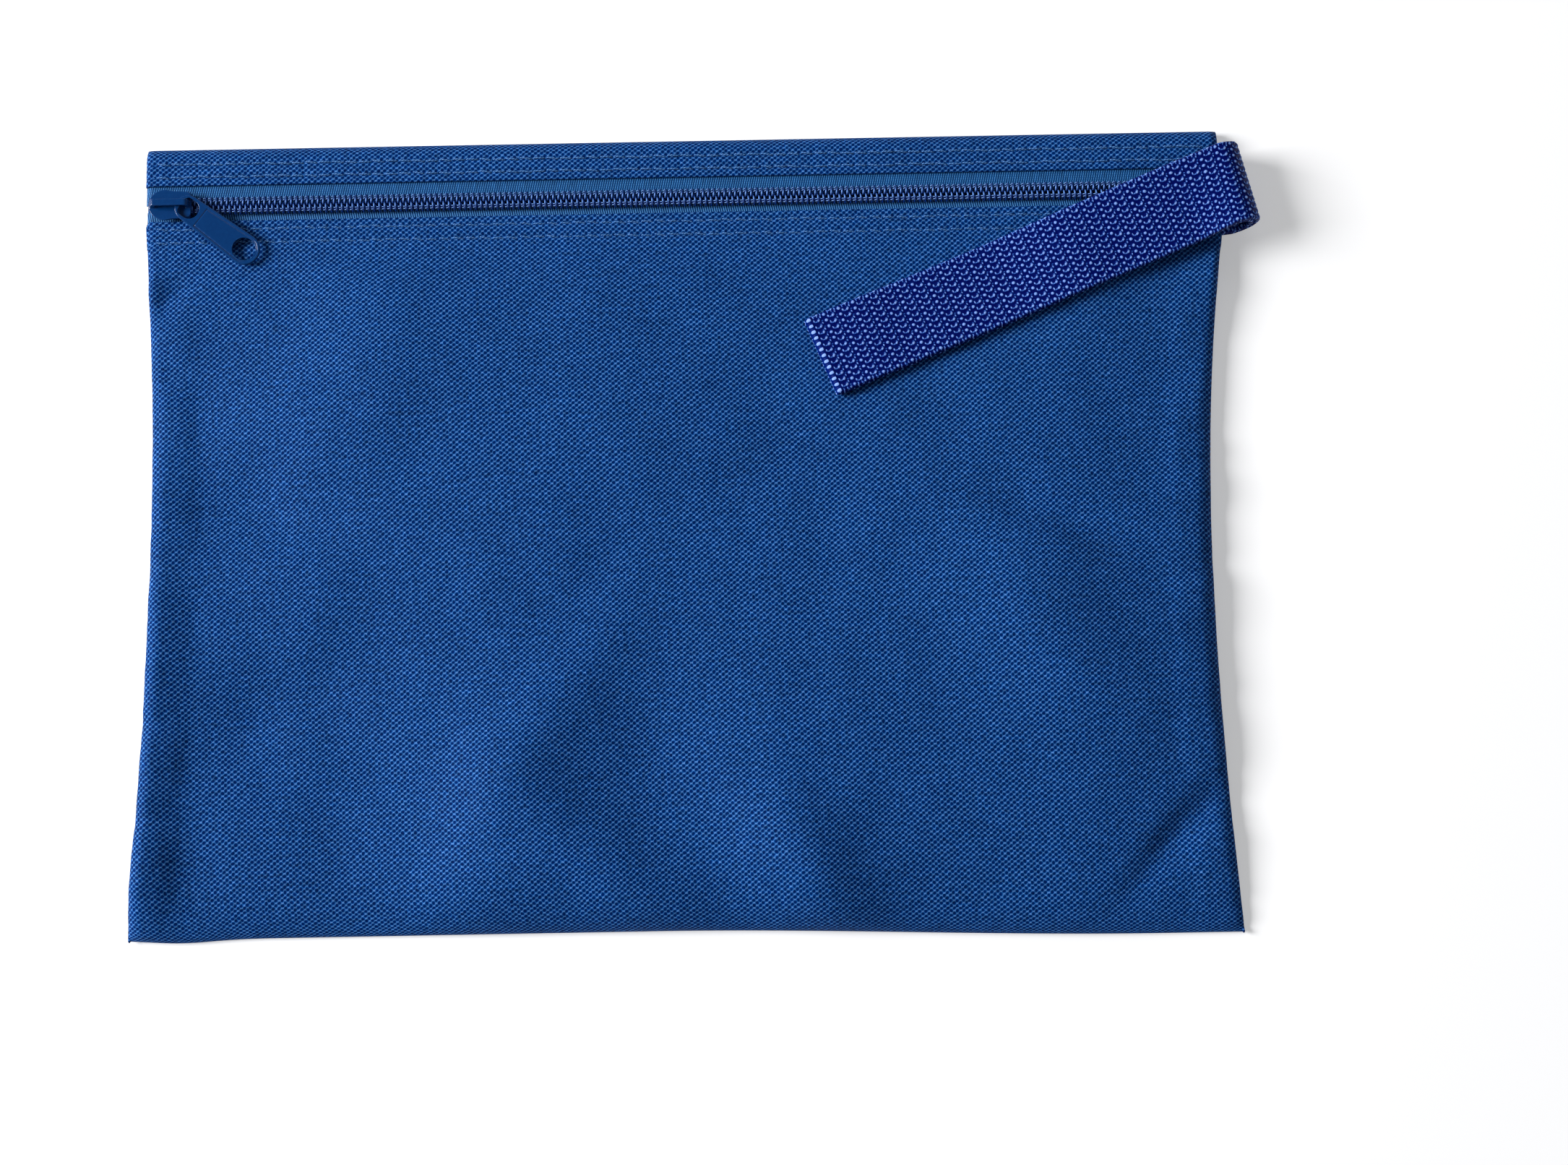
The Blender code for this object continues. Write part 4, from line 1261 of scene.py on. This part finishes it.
def plate_plan():
    """Plan of a slider plate: round nose, soft waist, narrower tail with round corners."""
    waist = NOSE + NOSE_BOW + WAIST
    waist_half = mix(NOSE_HALF, TAIL_HALF, WAIST_SHARE)
    corner_x, corner_y = TAIL - TAIL_CORNER, TAIL_HALF - TAIL_CORNER
    loop = arc_points(NOSE + NOSE_BOW, 0, NOSE_BOW, NOSE_HALF, 90, 270, 25)
    loop += [(waist, -waist_half)]
    loop += arc_points(corner_x, -corner_y, TAIL_CORNER, TAIL_CORNER, 270, 360, 7)
    loop += arc_points(corner_x, corner_y, TAIL_CORNER, TAIL_CORNER, 0, 90, 7)
    loop += [(waist, waist_half)]
    return loop


def make_slider():
    """Two plates, divider post, flanges and bridge, melted into one casting."""
    top = UPPER_PLATE + PLATE
    solids = [
        prism([plate_plan()], SLIDER_BASE, TAPE_LOW - PLATE_ROOM),
        prism([plate_plan()], UPPER_PLATE, top),
    ]
    post = arc_points(NOSE + POST_IN, 0, POST_LONG, POST_WIDE, 0, 360, 25)[:-1]
    solids.append(prism([post], SLIDER_BASE + MELT, top - MELT))
    left, right = TAIL - FLANGE_START, TAIL - FLANGE_END
    for side in (1, -1):
        near, far = side * FLANGE_IN, side * FLANGE_OUT
        flange = [(left, near), (right, near), (right, far), (left, far)]
        solids.append(prism([flange], COIL_LOW, top - MELT))
    # The bridge is drawn as a profile and then stood up along the chain
    foot, tail = NOSE + BRIDGE_FOOT, TAIL - BRIDGE_TAIL
    base, clear = top - BRIDGE_MELT, BRIDGE_TOP - BRIDGE_DEPTH
    shoulder = BRIDGE_TOP - SHOULDER
    outer = [(foot - 0.5, base), (foot, shoulder)]
    outer += arc_points(foot + SHOULDER, shoulder, SHOULDER, SHOULDER, 180, 90, 7)
    outer += arc_points(tail - SHOULDER, shoulder, SHOULDER, SHOULDER, 90, 0, 7)
    outer += [(tail, base), (tail - 1.2, base), (tail - 1.2, clear - 0.4), (tail - 1.6, clear)]
    outer += [(foot + 1.9, clear), (foot + 1.3, clear - 0.7), (foot + 1.5, base)]
    bridge = prism([outer], -BRIDGE_HALF, BRIDGE_HALF)
    bridge.transform(Matrix.Rotation(PI / 2, 4, "X"))
    solids.append(bridge)
    place = Matrix.Translation((0, CHAIN_Y, 0))
    cast("zip_slider", solids, 0.11, 12, place, "slider_body", "slider")


PULL_HALF = 0.55
PULL_BAR = 0.75
PULL_NEAR = 4.0
PULL_FAR = 4.8
PULL_END = 24.45
# Eye: its near end, far end and half width, and how blunt the near end is
EYE = (0.75, 6.75, 3.0)
EYE_BLUNT = 1.35
END_HOLE = 3.5
PULL_RIM = 0.75
RIM_IN = 0.1
PANEL_HALF = 0.34
HEAD_PAST = 1.2
HEAD_LOW = 0.04
# The raised panel between the rims: its gap to them, its gap to the head, and how far it lies below them
FIELD_GAP = 0.3
FIELD_START = 0.4
FIELD_LOW = 0.08
PULL_CLEAR = 0.3
PULL_REACHES = 30


def pull_plan(inset, start=None):
    """Plan of the tab: a round near end, slightly spreading sides and a round far end."""
    near = PULL_NEAR - inset
    far = PULL_FAR - inset
    if start is None:
        loop = arc_points(PULL_NEAR - PULL_BAR, 0, near, near, 180, 90, 13)
    else:
        loop = [(start, -near), (start, near)]
    loop += arc_points(PULL_END, 0, far, far, 90, -90, 37)
    if start is None:
        loop += arc_points(PULL_NEAR - PULL_BAR, 0, near, near, 270, 180, 13)[:-1]
    return loop


def make_pull():
    """The tab: raised rims round a panel, a line across it behind the eye, and a round end hole."""
    start, end, half = EYE
    eye = arc_points(start + EYE_BLUNT, 0, EYE_BLUNT, half, 90, 270, 19)
    eye += arc_points(end - half, 0, half, half, 270, 450, 19)
    hole = arc_points(PULL_END, 0, END_HOLE, END_HOLE, 0, 360, 49)[:-1]
    head_end = end + HEAD_PAST
    head_radius = PULL_NEAR - RIM_IN
    head = arc_points(PULL_NEAR - PULL_BAR, 0, head_radius, head_radius, 90, 270, 25)
    head += [(head_end, -PULL_NEAR), (head_end, PULL_NEAR)]
    field = pull_plan(PULL_RIM + FIELD_GAP, head_end + FIELD_START)
    layers = (
        ([pull_plan(0), eye, hole], PANEL_HALF),
        ([pull_plan(RIM_IN), pull_plan(PULL_RIM)], PULL_HALF),
        ([head, eye], PULL_HALF - HEAD_LOW),
        ([field, hole], PULL_HALF - FIELD_LOW),
    )
    solids = [prism(loops, -half_thick, half_thick) for loops, half_thick in layers]
    across = joint("pull_flip")["axis"]
    yaw = math.atan2(-across[0], -across[1])
    stitch_top = span("upper_inner_topstitch")[1][2]
    droop = math.asin((PULL_PIVOT[2] - PULL_HALF - PULL_CLEAR - stitch_top) / PULL_REACHES)
    place = Matrix.Translation(PULL_PIVOT) @ Euler((0, droop, -yaw)).to_matrix().to_4x4()
    cast("zip_pull", solids, 0.10, 6, place, "pull_tab", "pull")


make_slider()
make_pull()

# Wrist loop: doubled webbing from the seam, round the fold and back over the front
WEB_LAYER = 1.62
WEB_GAP = 0.22
LIE = math.radians(22.3)
ROOT_TURN = math.radians(6)
FOLD_TURN = (LIE + ROOT_TURN) / 2


def heading(turn):
    """Unit vectors along and across a direction in the plane of the bag."""
    c, s = math.cos(turn), math.sin(turn)
    return np.array([c, s, 0]), np.array([-s, c, 0])


FOLD_OUT, FOLD_LINE = heading(FOLD_TURN)
ROOT_OUT, ROOT_SIDE = heading(ROOT_TURN)
LOOP_BACK, LOOP_SIDE = heading(LIE)
LOOP_OUT = -LOOP_BACK
UP = np.array([0, 0, 1.0])
ROOT_MID = (ROOT_LOW[2] + ROOT_HIGH[2]) / 2
FOLD_RADIUS = FOLD[2] - ROOT_MID
HALF_TURN = PI * FOLD_RADIUS
LOOP_LENGTH = 134.0
# The loop stays up over the slider's end stop for a while, sinking a little, then falls onto the front
LOOP_LEVEL = 30.0
LOOP_FALL = 46.0
LOOP_SINK = 0.9
SINK_RUN = 50
# Beside the end stop it leans down across its width: how much, where from and to, and what that lowers it by
LOOP_TILT = 0.12
TILT_GROW = 16
TILT_END = 32
TILT_FADE = 40
TILT_DROP = 9.2
LOOP_CLEAR = 0.35
LOOP_FREE = 8.0
# Distances over which the webbing turns: in the root before the fold, and in the loop after it
ROOT_TWIST = 14
LOOP_TWIST = 18
# The fold bends between heights a little below the root's top and a little below the loop
END_RADIUS = (WEB_GAP + WEB_LAYER) / 2
WEB_STEP = 0.27
BUMP_HEIGHT = 0.30
BUMP_SINK = 0.6
# The selvedges round off over the last share of half the width, down to a thin rim
SELVEDGE = 0.045
RIM_SHARE = 0.12


def loop_tilt(run):
    """How far the loop leans down across its width, towards the front, beside the slider's end stop."""
    return LOOP_TILT * smooth(run / TILT_GROW) * (1 - smooth((run - TILT_END) / TILT_FADE))


def loop_height(run):
    """Height of the middle of the loop: level over the slider's end stop, then down onto the front."""
    places = FOLD + LOOP_OUT * run + LOOP_SIDE * np.linspace(-WEB_HALF, WEB_HALF, 9)[:, None]
    rest = front_top(places[:, 0], places[:, 1]).max() + LOOP_CLEAR + WEB_LAYER + WEB_GAP / 2
    level = FOLD[2] + FOLD_RADIUS - LOOP_SINK * smooth(run / SINK_RUN) - TILT_DROP * loop_tilt(run)
    return mix(level, rest, smooth((run - LOOP_LEVEL) / LOOP_FALL))


def strap_place(distance):
    """Middle, sideways and outward directions of the doubled webbing, some way along from the fold's start.

    Less than nothing is the sewn root, then comes the half turn, then the loop."""
    if distance < 0:
        turn = smooth((distance + ROOT_TWIST) / ROOT_TWIST)
        side = mix(ROOT_SIDE, FOLD_LINE, turn)
        middle = FOLD + ROOT_OUT * distance - UP * FOLD_RADIUS
        return middle, side, -UP
    if distance < HALF_TURN:
        angle = distance / FOLD_RADIUS
        out = FOLD_OUT * math.sin(angle) - UP * math.cos(angle)
        return FOLD + out * FOLD_RADIUS, FOLD_LINE, out
    run = distance - HALF_TURN
    tilt = loop_tilt(run)
    side = mix(FOLD_LINE, LOOP_SIDE, smooth(run / LOOP_TWIST)) + UP * tilt
    middle = FOLD + LOOP_OUT * run
    middle[2] = loop_height(run)
    slope = loop_height(run - 0.5) - loop_height(run + 0.5)
    return middle, side, UP + LOOP_OUT * slope - LOOP_SIDE * tilt


def web_rise(along, across):
    """Height of the floats of the webbing, from 0 to 1."""
    height = np.zeros(np.broadcast(along, across).shape)
    for float_a, float_b, half_length, half_width, turn, high in FLOATS:
        away_a = (along - float_a + REPEAT_LONG / 2) % REPEAT_LONG - REPEAT_LONG / 2
        away_b = (across - float_b + REPEAT_WIDE / 2) % REPEAT_WIDE - REPEAT_WIDE / 2
        c, s = math.cos(math.radians(turn)), math.sin(math.radians(turn))
        first = (away_a * c + away_b * s) / half_length
        second = (away_b * c - away_a * s) / half_width
        height = np.maximum(height, high * np.sqrt(np.clip(1 - (first ** 2 + second ** 2), 0, 1)))
    return height


def band_path(start, end, offset):
    """Middle places of one layer of the webbing between two distances, and the way across and out of each."""
    places = np.linspace(start, end, int((end - start) / WEB_STEP) + 1)
    rows = []
    for distance in places:
        middle, side, out = strap_place(distance)
        rows.append((middle + out * offset, side, out, distance))
    return rows


def add_band(shape, rows, run_start=0.0, painted_rows=0):
    """Woven band along a path: yarn floats on both faces and rounded selvedges. Gives its run at the end.

    The first few rows, as many as the last argument says, are marked for painted light: the end turn is
    painted paler where the lamp falls on it."""
    across = np.linspace(-1, 1, int(2 * WEB_HALF / WEB_STEP))
    outside = np.clip((np.abs(across) - (1 - SELVEDGE)) / SELVEDGE, 0, 1)
    edge = np.maximum(np.sqrt(np.clip(1 - outside ** 2, 0, 1)), RIM_SHARE)
    faces_of = []
    steps = [np.linalg.norm(second[0] - first[0]) for first, second in zip(rows, rows[1:])]
    run = run_start + np.concatenate([[0], np.cumsum(steps)])
    middle, side, out = (np.array([row[part] for row in rows]) for part in range(3))
    place = across * WEB_HALF
    for face in (1, -1):
        rise = web_rise(run[:, None], place[None, :])
        thick = (WEB_LAYER / 2 - BUMP_HEIGHT * BUMP_SINK + BUMP_HEIGHT * rise) * edge[None, :]
        points = middle[:, None] + side[:, None] * place[None, :, None]
        points = points + face * out[:, None] * thick[:, :, None]
        flat = np.stack(np.broadcast_arrays(run[:, None], place[None, :]), axis=2)
        # Rows to be painted paler, as painted light on the end turn
        painted_light = np.broadcast_to(np.arange(len(run))[:, None] < painted_rows, rise.shape)
        faces_of.append((points, flat, painted_light.astype(float)))
    rows_count, columns = faces_of[0][0].shape[:2]
    size = rows_count * columns
    faces = grid_faces(rows_count, columns) + grid_faces(rows_count, columns, size, flip=True)
    for row in range(rows_count - 1):
        for column, turned in ((0, True), (columns - 1, False)):
            first, second = row * columns + column, (row + 1) * columns + column
            face = [first, second, second + size, first + size]
            faces.append(face[::-1] if turned else face)
    for row, turned in ((0, False), (rows_count - 1, True)):
        for column in range(columns - 1):
            first = row * columns + column
            face = [first, first + 1, first + 1 + size, first + size]
            faces.append(face if turned else face[::-1])
    points, flat, painted_light = (np.stack(part) for part in zip(*faces_of))
    shape.add(points, faces, flat, painted_light, 2 * (columns - 1))
    return run[-1]


def make_strap():
    """Sewn ends and fold in one piece, and the free loop with its end turn in another two."""
    root = -(FOLD[0] - ROOT_LOW[0]) / ROOT_OUT[0]
    join = HALF_TURN + LOOP_FREE
    end = HALF_TURN + LOOP_LENGTH - END_RADIUS - WEB_LAYER / 2
    shape = Shape()
    add_band(shape, band_path(root, join, -END_RADIUS))
    run = add_band(shape, band_path(root, join, END_RADIUS))
    fold = shape.piece("strap_fold", webbing_finish)
    middle = ((FOLD[0] + BAG_X) * MM, FOLD[1] * MM)
    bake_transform(fold)
    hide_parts("strap_root", "strap_bend")

    upper = band_path(join, end, END_RADIUS)
    lower = band_path(join, end, -END_RADIUS)
    shape = Shape()
    run = add_band(shape, upper, run)
    shape.rider("strap_upper_band", webbing_finish, "webbing", "strap", "strap_upper_run")

    middle, side, out = strap_place(upper[-1][3])
    turn_rows = []
    for angle in np.linspace(PI / 2, -PI / 2, 15)[:-1]:
        lift = out * math.sin(angle) + LOOP_OUT * math.cos(angle)
        turn_rows.append((middle + lift * END_RADIUS, side, lift, 0))
    # The end turn and the lower layer are one band, so the lower layer runs back from the end
    back_rows = [(place, side, -out, 0) for place, side, out, _ in lower[::-1]]
    shape = Shape()
    # The end turn's rows are marked for painted light
    add_band(shape, turn_rows + back_rows, run, len(turn_rows))
    shape.rider("strap_lower_band", webbing_finish, "webbing", "strap", "strap_lower_run", "strap_end_turn")


make_strap()

# Stage
FLOOR_SIZE = 6.0
FLOOR_Z = -0.0002
PAPER = (0.86, 0.86, 0.87, 1)
PAPER_GLOW = 0.32
SKY = (0.93, 0.96, 1.0, 1)
SKY_STRENGTH = 0.12

bpy.ops.mesh.primitive_plane_add(size=FLOOR_SIZE, location=(0, 0, FLOOR_Z))
floor = bpy.context.object
floor.name = "floor"


def pale_floor():
    """White paper that keeps the shadow, and shows as white to the camera."""
    finish = Finish("paper", 0.9, 0.1)
    finish.shader.inputs["Base Color"].default_value = PAPER
    path = finish.node("LightPath")
    seen = finish.math("MAXIMUM", path.outputs["Is Camera Ray"], path.outputs["Is Glossy Ray"])
    seen = finish.math("MAXIMUM", seen, path.outputs["Is Transmission Ray"])
    finish.shader.inputs["Emission Color"].default_value = (1, 1, 1, 1)
    finish.feed(finish.shader.inputs["Emission Strength"], finish.math("MULTIPLY", seen, PAPER_GLOW))
    return finish.material


floor.data.materials.append(pale_floor())

world = bpy.data.worlds.new("studio")
bpy.context.scene.world = world
world.use_nodes = True
sky = world.node_tree.nodes["Background"]
sky.inputs["Color"].default_value = SKY
sky.inputs["Strength"].default_value = SKY_STRENGTH


def soft_box(name, place, power, size):
    """A square lamp aimed at the bag."""
    light = bpy.data.lights.new(name, "AREA")
    light.energy = power
    light.size = size
    lamp = bpy.data.objects.new(name, light)
    lamp.location = place
    lamp.rotation_euler = (-Vector(place)).to_track_quat("-Z", "Y").to_euler()
    bpy.context.scene.collection.objects.link(lamp)


soft_box("key", (-2.3, 0.24, 1.49), 104.0, 1.2)
soft_box("right_fill", (1.1, -0.3, 1.0), 1.5, 0.9)
soft_box("top_fill", (0.1, 1.2, 1.0), 2.0, 0.9)

# Camera, fitted to the bag's corners, zip and wrist loop
AIM = Vector((29.5, -17.4, 0))
CAMERA_RANGE = 600.0
CAMERA_UP = math.radians(83.02)
CAMERA_ROLL = math.radians(-1.05)
FOCAL_PIXELS = 2755
PHOTO_WIDTH = 2170
SENSOR = 36.0

lens = bpy.data.cameras.new("camera")
lens.sensor_width = SENSOR
lens.sensor_fit = "HORIZONTAL"
lens.lens = FOCAL_PIXELS / PHOTO_WIDTH * SENSOR
lens.clip_start = 0.01
camera = bpy.data.objects.new("camera", lens)
bpy.context.scene.collection.objects.link(camera)
back = Vector((0, -math.cos(CAMERA_UP), math.sin(CAMERA_UP)))
right = Vector((1, 0, 0))
above = back.cross(right)
turned_right = right * math.cos(CAMERA_ROLL) + above * math.sin(CAMERA_ROLL)
turned_above = above * math.cos(CAMERA_ROLL) - right * math.sin(CAMERA_ROLL)
axes = Matrix((turned_right, turned_above, back)).transposed().to_4x4()
eye = (AIM + back * CAMERA_RANGE + Vector((BAG_X, 0, 0))) * MM
camera.matrix_world = Matrix.Translation(eye) @ axes
bpy.context.scene.camera = camera
bpy.context.scene.view_settings.view_transform = "Standard"
